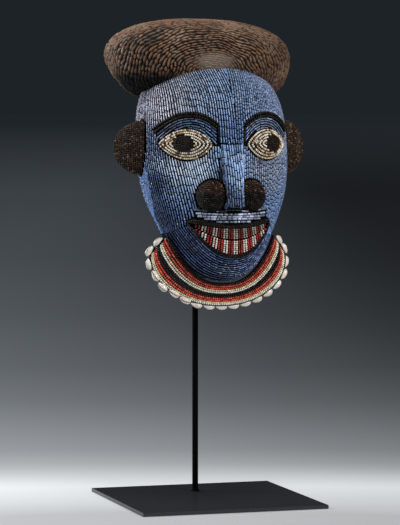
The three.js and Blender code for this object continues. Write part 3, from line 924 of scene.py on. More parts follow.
def right_columns():
    """Shorter bugles right of the seam, close together and nearly upright."""
    table = section_table(0.0)
    even = (np.arange(-4, 62) + 0.5) * BUGLE_PITCH
    sway = RIGHT_LEAN * (ease(520, 600, table[0]) + 0.6 * ease(585, 630, table[0]))

    def allowed(x, z, place, points):
        """Off the features, right of the seam and inside the side strip."""
        return off_features(x, z, points) & (place >= SEAM - 0.4) & (share_across(x, z) < strip_from(z))

    return column_beads(table, even, sway, allowed, (4, 9))


def edge_columns():
    """Small bugles in upright columns along the two sides of the face."""
    table = section_table(0.0)
    even = np.concatenate([np.arange(-80, -20), np.arange(20, 80)]) * EDGE_PITCH

    def allowed(x, z, _, points):
        """Off the features and between the start of the side strip and the rim."""
        across = share_across(x, z)
        return off_features(x, z, points) & (across >= strip_from(z)) & (across < 0.998)

    return column_beads(table, even, 0 * table[0], allowed, (2.6, 3.8))


def nose_columns():
    """Bugles down the ridge and the side walls of the nose, at even arc lengths over the carved section."""
    table = section_table(1.0)
    even = (np.arange(-13, 11) + 0.5) * BUGLE_PITCH

    def allowed(x, z, _, points):
        """On the ridge and the side walls, off the nostrils."""
        on_nose = (z < NOSE_TOP_Z - 2) & (z > NOSE_TIP_Z - 2) & (np.abs(x) < nose_half(z) + 3.2)
        return on_nose & ~in_nostril(points[:, 0], points[:, 1], points[:, 2], 0.8)

    return column_beads(table, even, 4 * ease(494, 440, table[0]), allowed, (8, 15))


def front_path(x, z, keep, lengths, rng):
    """Beads along a line drawn in the front view."""
    points, normals = on_face(x, z)
    return threaded(points, normals, keep, lengths, rng)


def brow_offset(side, drop, reach=1.0):
    """The brow's arc moved square to itself by drop, and carried on straight past its ends up to reach."""
    along = np.linspace(-reach, reach, 300)
    inside = np.clip(along, -1, 1)
    x = BROW_X + BROW_HALF_LENGTH * along
    z = BROW_Z - BROW_DROP * (np.abs(inside) ** 2.2 + 2.2 * (np.abs(along) - np.abs(inside)))
    slope = np.gradient(z, x)
    length = np.hypot(1, slope)
    return side * (x + slope / length * drop), z - drop / length


def under_brow_rows(rng):
    """Bugles in arcs between the brow and the eye."""
    beads = []
    for side in (-1, 1):
        for row in range(UNDER_BROW_ROWS):
            x, z = brow_offset(side, BROW_HALF_BAND + 1.7 + UNDER_BROW_PITCH * row, 1.5)
            near = np.abs(x)
            inner = np.where(z < BROW_Z - BROW_DROP + 2, BROW_TAIL[0] + 3.5, BROW_TAIL[0] + 1)
            keep = ~in_eye(x, z, 1.3) & (z > EYE_Z - 1.5) & (near > inner)
            keep &= near < brow_end(z) - 0.5
            beads.append(front_path(x, z, keep, (7, 14), rng))
    return np.concatenate(beads)


def jaw_rows(rng):
    """Bugles in U-shaped rows from the lower lip out to the collar, each a blend of the two lines."""
    beads = []
    t = np.linspace(-1.2, 1.2, 600)
    for row in range(JAW_ROWS):
        w = ((row + 0.6) / JAW_ROWS) ** 0.92
        x = t * (MOUTH_HALF + (COLLAR_INNER_HALF + 3 - MOUTH_HALF) * w)
        z = (1 - w) * lip_bottom(t * MOUTH_HALF) + w * (collar_line(t * COLLAR_INNER_HALF) - 1)
        keep = on_jaw(x, z + 0.6) & (share_across(x, z) < 0.99)
        beads.append(front_path(x, z, keep, (8, 15), rng))
    return np.concatenate(beads)


def shelf_rows(rng):
    """Bugles laid flat along the strip above the upper lip."""
    beads = []
    x = np.linspace(-SHELF_HALF, SHELF_HALF, 300)
    for row in range(SHELF_ROWS):
        z = NOSE_TIP_Z - 3.5 - SHELF_PITCH * row - 0.9 * row * (1 - (x / SHELF_HALF) ** 2)
        z = z + 1.5 * (x / SHELF_HALF) ** 2 * (1.5 - row)
        keep = (np.abs(x) < SHELF_HALF - 1 - 1.5 * row) & (z > lip_top(x) + 1)
        beads.append(front_path(x, z, keep, (4, 10), rng))
    return np.concatenate(beads)


def blue_of(points):
    """The blue at each place: the colours of BLUE_PLACES weighed by exp(-(distance / reach)^2)."""
    place = np.array([row[1:4] for row in BLUE_PLACES], float)
    blues = shades(*[row[4] for row in BLUE_PLACES])
    gap = np.hypot(points[:, None, 0] - place[None, :, 0], points[:, None, 2] - place[None, :, 1])
    weight = np.exp(-(gap / place[None, :, 2]) ** 2) + 1e-6
    return weight @ blues / weight.sum(1, keepdims=True) * BLUE_BALANCE


def lip_blue(points):
    """The pale strip above the upper lip."""
    return np.tile(kin("lip_strip", 1.0), (len(points), 1))


def edge_blue(points):
    """The strips along the sides: lilac at the temples, clear blue below them and paler on the right."""
    low = ease(470, 452, points[:, 2:3])
    bright = np.where(points[:, :1] < 0, kin("strip", 1.0), shades("#9FB0D6"))
    return blue_of(points) * (1 - low) + bright * low


def blue_beads(name, beads, rng, level=1.0, share=1.0, sides=8, dots=0.07, gap=1.0, blue=blue_of, vary=0.16,
               depth=2.7):
    """A mesh of bugles in the blue of their place, with a pale round bead in some of the joints.

    The radius and the gap are shares of their settings. The beads' backs lie the depth below the face."""
    radius = share * size_settings().bugle_radius / MM
    colours = blue(beads[:, :2].mean(1)) * level * BLUE_LEVEL * np.exp(rng.normal(0, vary, (len(beads), 1)))
    draw = rng.random(len(beads))[:, None]
    lilac = shades("#C4BECC") * colours.mean(-1, keepdims=True) * 1.6
    colours = np.where(draw < 0.06, colours * 0.45, colours)
    colours = np.where(draw > 0.9, 0.6 * colours + 0.4 * lilac, colours)
    turned = 1 - 0.2 * ease(-45, -85, beads[:, :2, 0].mean(1))
    radii = radius * turned * rng.uniform(*BEAD_SPREAD, len(beads))
    placed = sunk(beads, radius - depth)
    space = gap * size_settings().bugle_gap / MM
    bugles = bead_mesh(name, placed, radii, BUGLE_PROFILE, sides, colours, space)
    chosen = placed[rng.random(len(beads)) < dots]
    if not len(chosen):
        return bugles
    axis = unit(chosen[:, 1] - chosen[:, 0])
    joint = np.stack([chosen[:, 1] - axis * 0.8, chosen[:, 1] + axis * 0.8, chosen[:, 2]], 1)
    pale = np.tile(shades("#DDD8D4"), (len(joint), 1))
    rounds = bead_mesh("dots", joint, radius * 0.95, SEED_PROFILE, 6, pale, space=0)
    return joined(name, bugles, rounds)


def seed_beads(name, beads, colours, rng, lift=-1.4, share=1.0, space=0.2):
    """A mesh of round seed beads, whose radius is a share of the setting."""
    radii = share * size_settings().seed_radius / MM * rng.uniform(*BEAD_SPREAD, len(beads))
    return bead_mesh(name, sunk(beads, lift), radii, SEED_PROFILE, 8, colours, space)


def pad_between(name, low, high, half, across, along, proud, depth):
    """A closed pad over the face between two lines of the front view, from proud down to depth."""
    s, t = np.meshgrid(np.linspace(-1, 1, across), np.linspace(0, 1, along))
    x = s * half
    z = low(x) + (high(x) - low(x)) * t
    points, normals = on_face(x, z)
    return shell_of(points + normals * proud, points + normals * depth, name)


def pad_disc(name, centre, radii, proud, depth):
    """A closed pad over an almond of the front view, as a polar grid with one point at its middle."""
    rings = 9
    turns = 40
    r = np.linspace(0, 1, rings)[1:, None]
    turn = (np.arange(turns) / turns * 2 * np.pi)[None]
    x = centre[0] + radii[0] * r * np.cos(turn)
    z = centre[1] + radii[1] * r * signed_power(np.sin(turn), 2 * EYE_POINT)
    points, normals = on_face(x, z)
    middle, up = on_face(np.array([centre[0]]), np.array([centre[1]]))
    front = (points + normals * proud).reshape(-1, 3)
    back = (points + normals * depth).reshape(-1, 3)
    count = (rings - 1) * turns
    ring = np.arange(turns)
    after = (ring + 1) % turns
    outer = (rings - 2) * turns
    everything = np.concatenate([front, back, middle + up * proud, middle + up * depth])
    quads = grid_faces(rings - 1, turns, wrap=True, flip=True)
    fan = np.stack([after, ring, np.full(turns, 2 * count)], -1)[:, ::-1]
    under = np.stack([after, ring, np.full(turns, 2 * count + 1)], -1)
    under[:, :2] += count
    band = np.stack([outer + ring, outer + after, outer + after + count, outer + ring + count], -1)
    return bare_mesh(name, everything, [quads, quads[:, ::-1] + count, fan, under, band])


def turned_out(mesh):
    """Doubles merged and faces recalculated to point outwards on a closed mesh."""
    work = bmesh.new()
    work.from_mesh(mesh)
    bmesh.ops.remove_doubles(work, verts=work.verts, dist=1e-6)
    bmesh.ops.recalc_face_normals(work, faces=work.faces)
    work.to_mesh(mesh)
    work.free()
    return mesh


# Materials

MIXED = {"data_type": "RGBA"}
MULTIPLIED = {"data_type": "RGBA", "blend_type": "MULTIPLY"}
TINT = {"attribute_name": "tint"}
SMOOTHED = {"interpolation_type": "SMOOTHSTEP"}

# A wave repeats every pi / 10 over its scale, so this draws a thread every 2.4 mm, coarser than real cotton
WEAVE_SCALE = 130.0


def connect(node, **inputs):
    """Feeds a node's inputs: an output socket is linked and anything else is set.

    i3 is the input at index 3."""
    for name, value in inputs.items():
        numbered = name[0] == "i" and name[1:].isdigit()
        socket = node.inputs[int(name[1:]) if numbered else name.replace("_", " ")]
        if isinstance(value, bpy.types.NodeSocket):
            node.id_data.links.new(value, socket)
        else:
            socket.default_value = value


def add_node(tree, kind, settings=(), **inputs):
    """One node with its settings and what feeds it."""
    node = tree.nodes.new(kind)
    for name, value in dict(settings).items():
        setattr(node, name, value)
    connect(node, **inputs)
    return node


def new_material(name):
    """An empty node material with its tree, its shader and the object coordinates."""
    material = bpy.data.materials.new(name)
    material.use_nodes = True
    tree = material.node_tree
    tree.nodes.clear()
    shader = add_node(tree, "ShaderNodeBsdfPrincipled")
    add_node(tree, "ShaderNodeOutputMaterial", Surface=shader.outputs[0])
    where = add_node(tree, "ShaderNodeTexCoord").outputs["Object"]
    return material, tree, shader, where


def per_metre(millimetres):
    """The scale of a noise whose features are about this many millimetres across."""
    return 1 / (millimetres * MM)


def fill_ramp(node, *stops):
    """Puts pairs of a position and a colour, in rising order, into a colour ramp."""
    elements = node.color_ramp.elements
    for element, (position, shade) in zip((elements[0], elements[1]), (stops[0], stops[-1])):
        element.position = position
        element.color = shade
    for position, shade in stops[1:-1]:
        elements.new(position).color = shade


def glass_material(name, rough, sheen):
    """Opaque drawn glass: clear gloss over an uneven body colour, dulled in patches by handling."""
    material, tree, shader, where = new_material(name)
    tint = add_node(tree, "ShaderNodeAttribute", TINT)
    fine = add_node(tree, "ShaderNodeTexNoise", Vector=where, Scale=per_metre(1.2), Detail=2.0)
    level = add_node(tree, "ShaderNodeMapRange", Value=fine.outputs[0], i1=0.3, i2=0.7, i3=0.72, i4=1.18)
    shade = add_node(tree, "ShaderNodeMix", MULTIPLIED, i0=1.0, i6=tint.outputs["Color"],
                     i7=level.outputs[0])
    patch = add_node(tree, "ShaderNodeTexNoise", Vector=where, Scale=per_metre(16), Detail=3.0)
    dull = add_node(tree, "ShaderNodeMapRange", Value=patch.outputs[0], i1=0.35, i2=0.7,
                    i3=rough * 0.75, i4=rough * 1.5)
    connect(shader, Base_Color=shade.outputs[2], Roughness=dull.outputs[0], IOR=1.52,
            Specular_IOR_Level=sheen)
    return material


def cloth_material(name):
    """Indigo-dyed cotton backing: matt, in a plain weave that takes the light unevenly, and nearly black,
    which also paints the shade between the beads.
    """
    material, tree, shader, where = new_material(name)
    warp = add_node(tree, "ShaderNodeTexWave", {"bands_direction": "X"}, Vector=where, Scale=WEAVE_SCALE)
    weft = add_node(tree, "ShaderNodeTexWave", {"bands_direction": "Z"}, Vector=where, Scale=WEAVE_SCALE)
    weave = add_node(tree, "ShaderNodeMath", {"operation": "MULTIPLY"}, i0=warp.outputs["Fac"],
                     i1=weft.outputs["Fac"])
    worn = add_node(tree, "ShaderNodeTexNoise", Vector=where, Scale=per_metre(14), Detail=3.0)
    dyed_and_shaded = add_node(tree, "ShaderNodeMix", MIXED, i0=worn.outputs[0], i6=solid("cloth", 0.6),
                   i7=solid("cloth", 1.4))
    bump = add_node(tree, "ShaderNodeBump", Height=weave.outputs[0], Strength=0.5, Distance=0.3 * MM)
    connect(shader, Base_Color=dyed_and_shaded.outputs[2], Roughness=0.92, Specular_IOR_Level=0.1,
            Normal=bump.outputs[0])
    return material


def wood_material(name):
    """Carved hardwood under an old handled patina: adzed surface, brown lit crests and smoke-blackened
    grooves.

    The tint holds the grooves' blackening together with painted shade under the coiffure, then the wear and
    the warmth of each point."""
    material, tree, shader, where = new_material(name)
    mark = add_node(tree, "ShaderNodeAttribute", TINT)
    split = add_node(tree, "ShaderNodeSeparateColor", i0=mark.outputs["Color"])
    soot_and_painted_shade, wear, warmth = split.outputs[0], split.outputs[1], split.outputs[2]
    patch = add_node(tree, "ShaderNodeTexNoise", Vector=where, Scale=per_metre(38), Detail=4.0,
                     Roughness=0.6)
    fine = add_node(tree, "ShaderNodeTexNoise", Vector=where, Scale=per_metre(3.5), Detail=4.0,
                    Roughness=0.65)
    tone = add_node(tree, "ShaderNodeValToRGB", i0=patch.outputs[0])
    fill_ramp(tone, (0.32, solid("wood", 0.42)), (0.5, solid("wood")), (0.68, linear("#A28B72")))
    level = add_node(tree, "ShaderNodeMapRange", Value=fine.outputs[0], i1=0.3, i2=0.7, i3=0.65, i4=1.3)
    grained = add_node(tree, "ShaderNodeMix", MULTIPLIED, i0=1.0, i6=tone.outputs[0], i7=level.outputs[0])
    warm = add_node(tree, "ShaderNodeMapRange", Value=warmth, i1=0.5, i2=1.0, i3=0.0, i4=0.6)
    varied = add_node(tree, "ShaderNodeMix", MIXED, i0=warm.outputs[0], i6=grained.outputs[2],
                      i7=linear("#A87248"))
    worn = add_node(tree, "ShaderNodeMix", MIXED, i0=wear, i6=varied.outputs[2], i7=solid("wood_worn"))
    # Painted shade as well as the grooves' blackening: the first tint channel darkens towards the groove
    # colour
    sooted_and_shaded = add_node(tree, "ShaderNodeMix", MIXED, i0=soot_and_painted_shade, i6=worn.outputs[2], i7=solid("wood_groove_and_shade"))
    matt = add_node(tree, "ShaderNodeMapRange", Value=soot_and_painted_shade, i1=0.1, i2=0.8, i3=0.48, i4=1.0)
    bump = add_node(tree, "ShaderNodeBump", Height=fine.outputs[0], Strength=0.5, Distance=0.6 * MM)
    connect(shader, Base_Color=sooted_and_shaded.outputs[2], Roughness=matt.outputs[0], Normal=bump.outputs[0])
    return material


def steel_material(name, part, rough, sheen):
    """Powder-coated mild steel: black, with a gloss level and a spread between two roughnesses."""
    material, tree, shader, where = new_material(name)
    fine = add_node(tree, "ShaderNodeTexNoise", Vector=where, Scale=per_metre(1.5), Detail=2.0)
    dull = add_node(tree, "ShaderNodeMapRange", Value=fine.outputs[0], i1=0.3, i2=0.7, i3=rough[0],
                    i4=rough[1])
    bump = add_node(tree, "ShaderNodeBump", Height=fine.outputs[0], Strength=0.15, Distance=0.05 * MM)
    connect(shader, Base_Color=solid(part), Roughness=dull.outputs[0], IOR=1.5, Specular_IOR_Level=sheen,
            Normal=bump.outputs[0])
    return material


def shell_material(name):
    """Cowrie shell: a natural porcelain gloss, ivory with warm stains in soft blots."""
    material, tree, shader, where = new_material(name)
    mark = add_node(tree, "ShaderNodeAttribute", TINT)
    stain = add_node(tree, "ShaderNodeTexNoise", Vector=where, Scale=per_metre(5), Detail=3.0)
    level = add_node(tree, "ShaderNodeMapRange", Value=stain.outputs[0], i1=0.35, i2=0.75, i3=0.0, i4=0.4)
    ivory = add_node(tree, "ShaderNodeMix", MIXED, i0=level.outputs[0], i6=mark.outputs["Color"],
                     i7=linear("#B79A78"))
    connect(shader, Base_Color=ivory.outputs[2], Roughness=0.2, IOR=1.55)
    return material


def floor_material(name):
    """Matt studio paper that glows with a painted pool of light: a pale strip under the stand falling away
    to dark grey, lighter to the left.
    """
    material, tree, shader, where = new_material(name)
    pool = add_node(tree, "ShaderNodeMapping", {"vector_type": "TEXTURE"}, Vector=where,
                    Location=POOL_CENTRE, Rotation=(0, 0, VIEW_TURN), Scale=(POOL_STRETCH, 1, 1))
    reach = add_node(tree, "ShaderNodeVectorMath", {"operation": "LENGTH"}, i0=pool.outputs[0])
    log = add_node(tree, "ShaderNodeMath", {"operation": "LOGARITHM"}, i0=reach.outputs["Value"], i1=10.0)
    spread = add_node(tree, "ShaderNodeMapRange", Value=log.outputs[0], i1=-1.0, i2=1.7, i3=0.0, i4=1.0)
    share = spread.outputs[0]
    glow = add_node(tree, "ShaderNodeValToRGB", i0=share)
    fill_ramp(glow, *[(place, linear(code)) for place, code in PAINTED_FLOOR_GLOW])
    # Painted light: the glow is made lighter to the left and darker to the right, fading out far away
    across = add_node(tree, "ShaderNodeSeparateXYZ", i0=pool.outputs[0])
    grow = add_node(tree, "ShaderNodeMapRange", Value=share, i1=0.28, i2=0.55, i3=0.28, i4=0.58)
    fade = add_node(tree, "ShaderNodeMapRange", Value=share, i1=0.78, i2=0.97, i3=1.0, i4=0.0)
    tilt = add_node(tree, "ShaderNodeMath", {"operation": "MULTIPLY"}, i0=grow.outputs[0],
                    i1=fade.outputs[0])
    left = add_node(tree, "ShaderNodeMath", {"operation": "ADD"}, i0=0.96, i1=tilt.outputs[0])
    right = add_node(tree, "ShaderNodeMath", {"operation": "SUBTRACT"}, i0=0.96, i1=tilt.outputs[0])
    lean = add_node(tree, "ShaderNodeMapRange", SMOOTHED, Value=across.outputs[0], i1=-0.8 / POOL_STRETCH,
                    i2=0.8 / POOL_STRETCH, i3=left.outputs[0], i4=right.outputs[0])
    uneven = add_node(tree, "ShaderNodeMix", MULTIPLIED, i0=1.0, i6=glow.outputs[0], i7=lean.outputs[0])
    near = add_node(tree, "ShaderNodeMapRange", SMOOTHED, Value=share, i1=0.235, i2=0.32, i3=1.0, i4=0.0)
    paper = add_node(tree, "ShaderNodeMix", MIXED, i0=near.outputs[0], i6=linear("#000000"),
                     i7=linear("#8C8E90"))
    connect(shader, Base_Color=paper.outputs[2], Roughness=1.0, Specular_IOR_Level=0.0,
            Emission_Color=uneven.outputs[2], Emission_Strength=1.0)
    return material


# Each slot's maker, with the material's real name and its finish
MAKERS = {
    # Bright small glints on the long beads
    "blue_beads": (glass_material, "drawn_blue_glass", 0.2, 0.5),
    # Worn and greasy, so nearly without glints
    "dark_beads": (glass_material, "drawn_brown_glass", 0.46, 0.2),
    "black_beads": (glass_material, "drawn_black_glass", 0.26, 0.15),
    # Half-dull gloss of old seed beads
    "red_beads": (glass_material, "drawn_red_and_white_glass", 0.32, 0.5),
    "collar_beads": (glass_material, "collar_seed_glass", 0.24, 0.3),
    "cream_beads": (glass_material, "drawn_cream_glass", 0.28, 0.5),
    "cloth": (cloth_material, "indigo_cotton_backing"),
    "carved_wood": (wood_material, "carved_hardwood_patina"),
    # The plate has a soft reflection and the rod has almost none
    "black_steel": (steel_material, "satin_black_powder_coat", "plate", (0.24, 0.34), 0.5),
    "black_rod": (steel_material, "matt_black_powder_coat", "rod", (0.6, 0.75), 0.05),
    "cowrie_shell": (shell_material, "polished_cowrie_shell"),
    # Paper that glows with a painted pool of light
    "floor": (floor_material, "matt_studio_paper"),
}


def material_of(finish):
    """Each material is made once, when its finish is first asked for."""
    maker, name, *settings = MAKERS[finish]
    return bpy.data.materials.get(name) or maker(name, *settings)


def dark(count, rng, codes=("#14110F", "#1D1714", "#0E0D0D")):
    """Colours drawn evenly from a few dark shades."""
    table = shades(*codes)
    return mixed(table, np.ones((count, len(table))), rng, 0.2)


# Operators, one for each piece or group of like pieces

class MASK_OT_wood(bpy.types.Operator):
    """Carve the coiffure and the hollow face shell from one piece of wood"""
    bl_idname = "mask.wood"
    bl_label = "Carved wood"

    def execute(self, context):
        hair = coiffure_mesh(np.random.default_rng(11))
        thing("carved_coiffure_and_shell", carve(hair, *wood_steps()), "carved_wood", "carved_wood_mask")
        return {"FINISHED"}


def hair_points(theta, phi, sink):
    """Rays from the coiffure's centre, scaled until the cushion's level is 1.

    v = (wide sin t cos f, -cos t, flat sin t sin f), turned so that t = 0 meets the front at HAIR_POLE."""
    v = np.stack([HAIR_WIDE * np.sin(theta) * np.cos(phi), -np.cos(theta) + 0 * phi,
                  HAIR_FLAT * np.sin(theta) * np.sin(phi)], -1)
    yaw, pitch = math.atan2(HAIR_POLE[0], HAIR_Y), math.atan2(HAIR_POLE[1], HAIR_Y)
    tipped = np.stack([v[..., 0], v[..., 1] * math.cos(pitch) + v[..., 2] * math.sin(pitch),
                       v[..., 2] * math.cos(pitch) - v[..., 1] * math.sin(pitch)], -1)
    v = np.stack([tipped[..., 0] * math.cos(yaw) - tipped[..., 1] * math.sin(yaw),
                  tipped[..., 0] * math.sin(yaw) + tipped[..., 1] * math.cos(yaw), tipped[..., 2]], -1)
    radii = (HAIR_X, HAIR_Y, HAIR_UP, HAIR_DOWN)
    low = np.zeros(v.shape[:-1])
    high = np.full(v.shape[:-1], 300.0)
    for _ in range(40):
        middle = (low + high) / 2
        points = v * middle[..., None]
        inside = cushion_level(points, radii, HAIR_PLAN_POWER, HAIR_UP_POWER, hair_down_power(points)) < 1
        low = np.where(inside, middle, low)
        high = np.where(inside, high, middle)
    return v * low[..., None] - unit(v) * np.asarray(sink)[..., None]


def even_steps(values, arc, count, closed=False):
    """Values resampled at even steps of arc length."""
    wanted = np.linspace(0, arc[-1], count + (1 if closed else 0))
    return np.interp(wanted, arc, values)[:count]


def coiffure_mesh(rng):
    """The coiffure as rings round its front pole, with staggered raised grains.

    grain height = (1 - (v / w(u))^2)^0.6, w(u) = (1 - |u|^2.2)^0.8, u along the ring and v across it."""
    theta_fine = np.linspace(0, np.pi, 800)
    side_arc = run_length(hair_points(theta_fine, np.zeros(800), 0))
    pitch = GRAIN_PITCH[0] + (GRAIN_PITCH[1] - GRAIN_PITCH[0]) * ease(0.05, 0.45, side_arc / side_arc[-1])
    row_at = np.cumsum(np.gradient(side_arc) / pitch)
    grain_rows = int(round(row_at[-1]))
    theta = even_steps(theta_fine, row_at - row_at[0], grain_rows * GRAIN_SAMPLES + 1)[1:-1]
    phi_fine = np.linspace(0, 2 * np.pi, 1600)
    ring_arc = run_length(hair_points(np.full(1600, np.pi / 2), phi_fine, 0))
    phi = even_steps(phi_fine, ring_arc, GRAIN_COLUMNS, closed=True)
    t, f = np.meshgrid(theta, phi, indexing="ij")
    plain = hair_points(t, f, 0)
    step = np.linalg.norm(np.roll(plain, -1, axis=1) - plain, axis=-1)
    along = np.concatenate([np.zeros((len(theta), 1)), np.cumsum(step, axis=1)[:, :-1]], axis=1)
    total = step.sum(1, keepdims=True)
    levels = np.arange(1, grain_rows * GRAIN_SAMPLES) / GRAIN_SAMPLES
    row = levels[:, None] + 0.5 * np.sin(3 * f + t * 9) * np.sin(5 * f + 2)
    row = row + 0.4 * np.sin(8 * f - 6 * t) * np.sin(t * 4 + 2 * f) * ease(0.1, 0.5, t)
    index = np.clip(np.floor(row), 0, grain_rows - 1).astype(int)
    near_total = np.interp(np.arange(grain_rows) + 0.5, levels, total[:, 0])
    per_row = np.maximum(np.round(near_total / GRAIN_LENGTH), 1)
    shift = rng.random(grain_rows)
    place = along / total * per_row[index] + shift[index]
    wobble = 0.22 * np.sin(2 * np.pi * (place * 0.37 + 3.1 * shift[index]))
    grain = np.floor(place + wobble).astype(int) % per_row[index].astype(int)
    random_of = rng.random((grain_rows, int(per_row.max()) + 1, 4))
    mood = random_of[index, grain]
    u = 2 * ((place + wobble) % 1) - 1
    v = 2 * (row % 1) - 1 + 0.5 * (mood[..., 0] - 0.5) + 0.9 * (mood[..., 1] - 0.5) * u
    width = np.maximum(1 - np.abs(u) ** 2.2, 0) ** 0.8 * (0.58 + 0.3 * mood[..., 2])
    body = np.maximum(1 - (v / np.maximum(width, 0.05)) ** 2, 0) ** 0.6
    world = from_hair(plain)
    worn = bell(world[..., 0] + 8, 30) * bell(world[..., 2] - 601, 13) * (world[..., 1] < 0)
    worn = np.minimum(1.35 * worn, 0.86)
    height = body * (0.6 + 0.4 * mood[..., 3]) * (1 - worn) + 0.8 * worn
    soot_and_painted_shade = (1 - body) * (1 - worn)
    # Painted shade: under darkens the coiffure's underside at the front left, and shaded darkens its right
    # front; both join the smoke-blackened grooves in the first tint channel
    under = ease(-40, -70, world[..., 0]) * ease(598, 576, world[..., 2]) * ease(75, 15, world[..., 1])
    shaded = 0.35 * ease(20, 100, world[..., 0]) * ease(75, 15, world[..., 1])
    soot_and_painted_shade = np.maximum(soot_and_painted_shade, np.maximum(0.85 * under, shaded))
    depth = size_settings().grain_depth / MM * (1 - 0.35 * ease(60, 130, world[..., 1]))
    points = from_hair(hair_points(t, f, 0.3 + depth * (1 - height)))
    poles = from_hair(hair_points(np.array([0.0, np.pi]), np.zeros(2), 1.3))
    everything = np.concatenate([points.reshape(-1, 3), poles])
    mesh = capped_rings("coiffure", everything, GRAIN_COLUMNS)
    mark = np.zeros((len(everything), 3))
    mark[:-2, 0] = np.clip(1.25 * soot_and_painted_shade.reshape(-1), 0, 1) ** 0.9
    mark[:-2, 1] = worn.reshape(-1) * 0.7
    mark[:-2, 2] = mood[..., 1].reshape(-1)
    paint(mesh, "tint", mark)
    return turned_out(mesh)


def filled_face(name, net, inset):
    """The face sunk by an inset and filled back to its rim: a net, a band out to the rim, and a flat fan."""
    front = face_net(net, net, BEAD_EDGE, -inset)
    rim = face_net(net, net, 1.0, -inset)
    rows, columns = front.shape[:2]
    ring = edge_ring(rows, columns)
    outer = rows * columns + np.arange(len(ring))
    band = np.stack([np.roll(ring, -1), ring, outer, np.roll(outer, -1)], -1)
    fan = np.stack([np.roll(outer, -1), outer, np.full(len(ring), rows * columns + len(ring))], -1)
    middle = [[0, rim_y(FACE_MID_Z), FACE_MID_Z]]
    points = np.concatenate([front.reshape(-1, 3), rim.reshape(-1, 3)[ring], middle])
    return turned_out(bare_mesh(name, points, [grid_faces(rows, columns), band, fan]))


def wood_steps():
    """The face core joined on, and the hollow and the rod's socket cut out."""
    core = filled_face("core", CORE_NET, WOOD_INSET)
    inner = face_net(64, 64, 1.0, -HOLLOW_INSET)
    depth = rim_y(inner[..., 2]) - inner[..., 1]
    full = middle_depth(np.array(0.05), np.array(float(FACE_MID_Z)))
    behind = inner.copy()
    behind[..., 1] = np.maximum(rim_y(inner[..., 2]) + depth * HOLLOW_CAP / full, inner[..., 1] + 0.6)
    edge = edge_ring(*inner.shape[:2])
    behind.reshape(-1, 3)[edge] = inner.reshape(-1, 3)[edge]
    rows, columns = inner.shape[:2]
    walls = [grid_faces(rows, columns), grid_faces(rows, columns, flip=True, first=rows * columns)]
    points = np.concatenate([inner.reshape(-1, 3), behind.reshape(-1, 3)])
    hollow = turned_out(bare_mesh("hollow", points, walls))
    turn = np.arange(24) / 24 * 2 * np.pi
    circle = np.stack([np.cos(turn) * (ROD_RADIUS + 0.4), ROD_Y + np.sin(turn) * (ROD_RADIUS + 0.4)], -1)
    low = np.column_stack([circle, np.full(24, 400.0)])
    high = np.column_stack([circle, np.full(24, ROD_TOP + 0.4)])
    socket = bare_mesh("socket", np.concatenate([low, high]),
                       [grid_faces(2, 24, wrap=True), np.arange(24)[None, ::-1], np.arange(24)[None] + 24])
    return ("UNION", core), ("DIFFERENCE", hollow), ("DIFFERENCE", socket)


class MASK_OT_face(bpy.types.Operator):
    """Sew the blue bugle beads onto the cloth over the face"""
    bl_idname = "mask.face"
    bl_label = "Blue beadwork"

    def execute(self, context):
        rng = np.random.default_rng(5)
        cloth = shell_of(face_net(NET, NET, BEAD_EDGE, CLOTH_LIFT),
                         face_net(NET, NET, BEAD_EDGE, CLOTH_LIFT - CLOTH_THICK), "backing")
        smooth(cloth)
        thing("cloth_backing", cloth, "blue_beads", "blue_bead_face", finish="cloth")
        pieces = (
            ("bugles_left", left_columns(), {"level": 1.25, "share": 1.02}),
            ("bugles_right", right_columns(), {"level": 0.94, "share": 1.28, "dots": 0.02}),
            ("bugles_edges", edge_columns(),
             {"share": 1.3, "sides": 6, "dots": 0.0, "gap": 0.32, "blue": edge_blue, "vary": 0.08}),
            ("bugles_nose", nose_columns(), {"level": 1.15, "share": 1.2, "depth": 3.2}),
            ("bugles_under_brows", under_brow_rows(rng), {"level": 0.9, "share": 0.95, "vary": 0.25}),
            ("bugles_jaw", jaw_rows(rng), {"level": 1.3, "share": 0.85, "vary": 0.32}),
            ("bugles_lip_strip", shelf_rows(rng),
             {"level": 1.2, "share": 1.45, "vary": 0.45, "blue": lip_blue}),
        )
        for name, beads, look in pieces:
            thing(name, blue_beads(name, beads, rng, **look), "blue_beads")
        return {"FINISHED"}


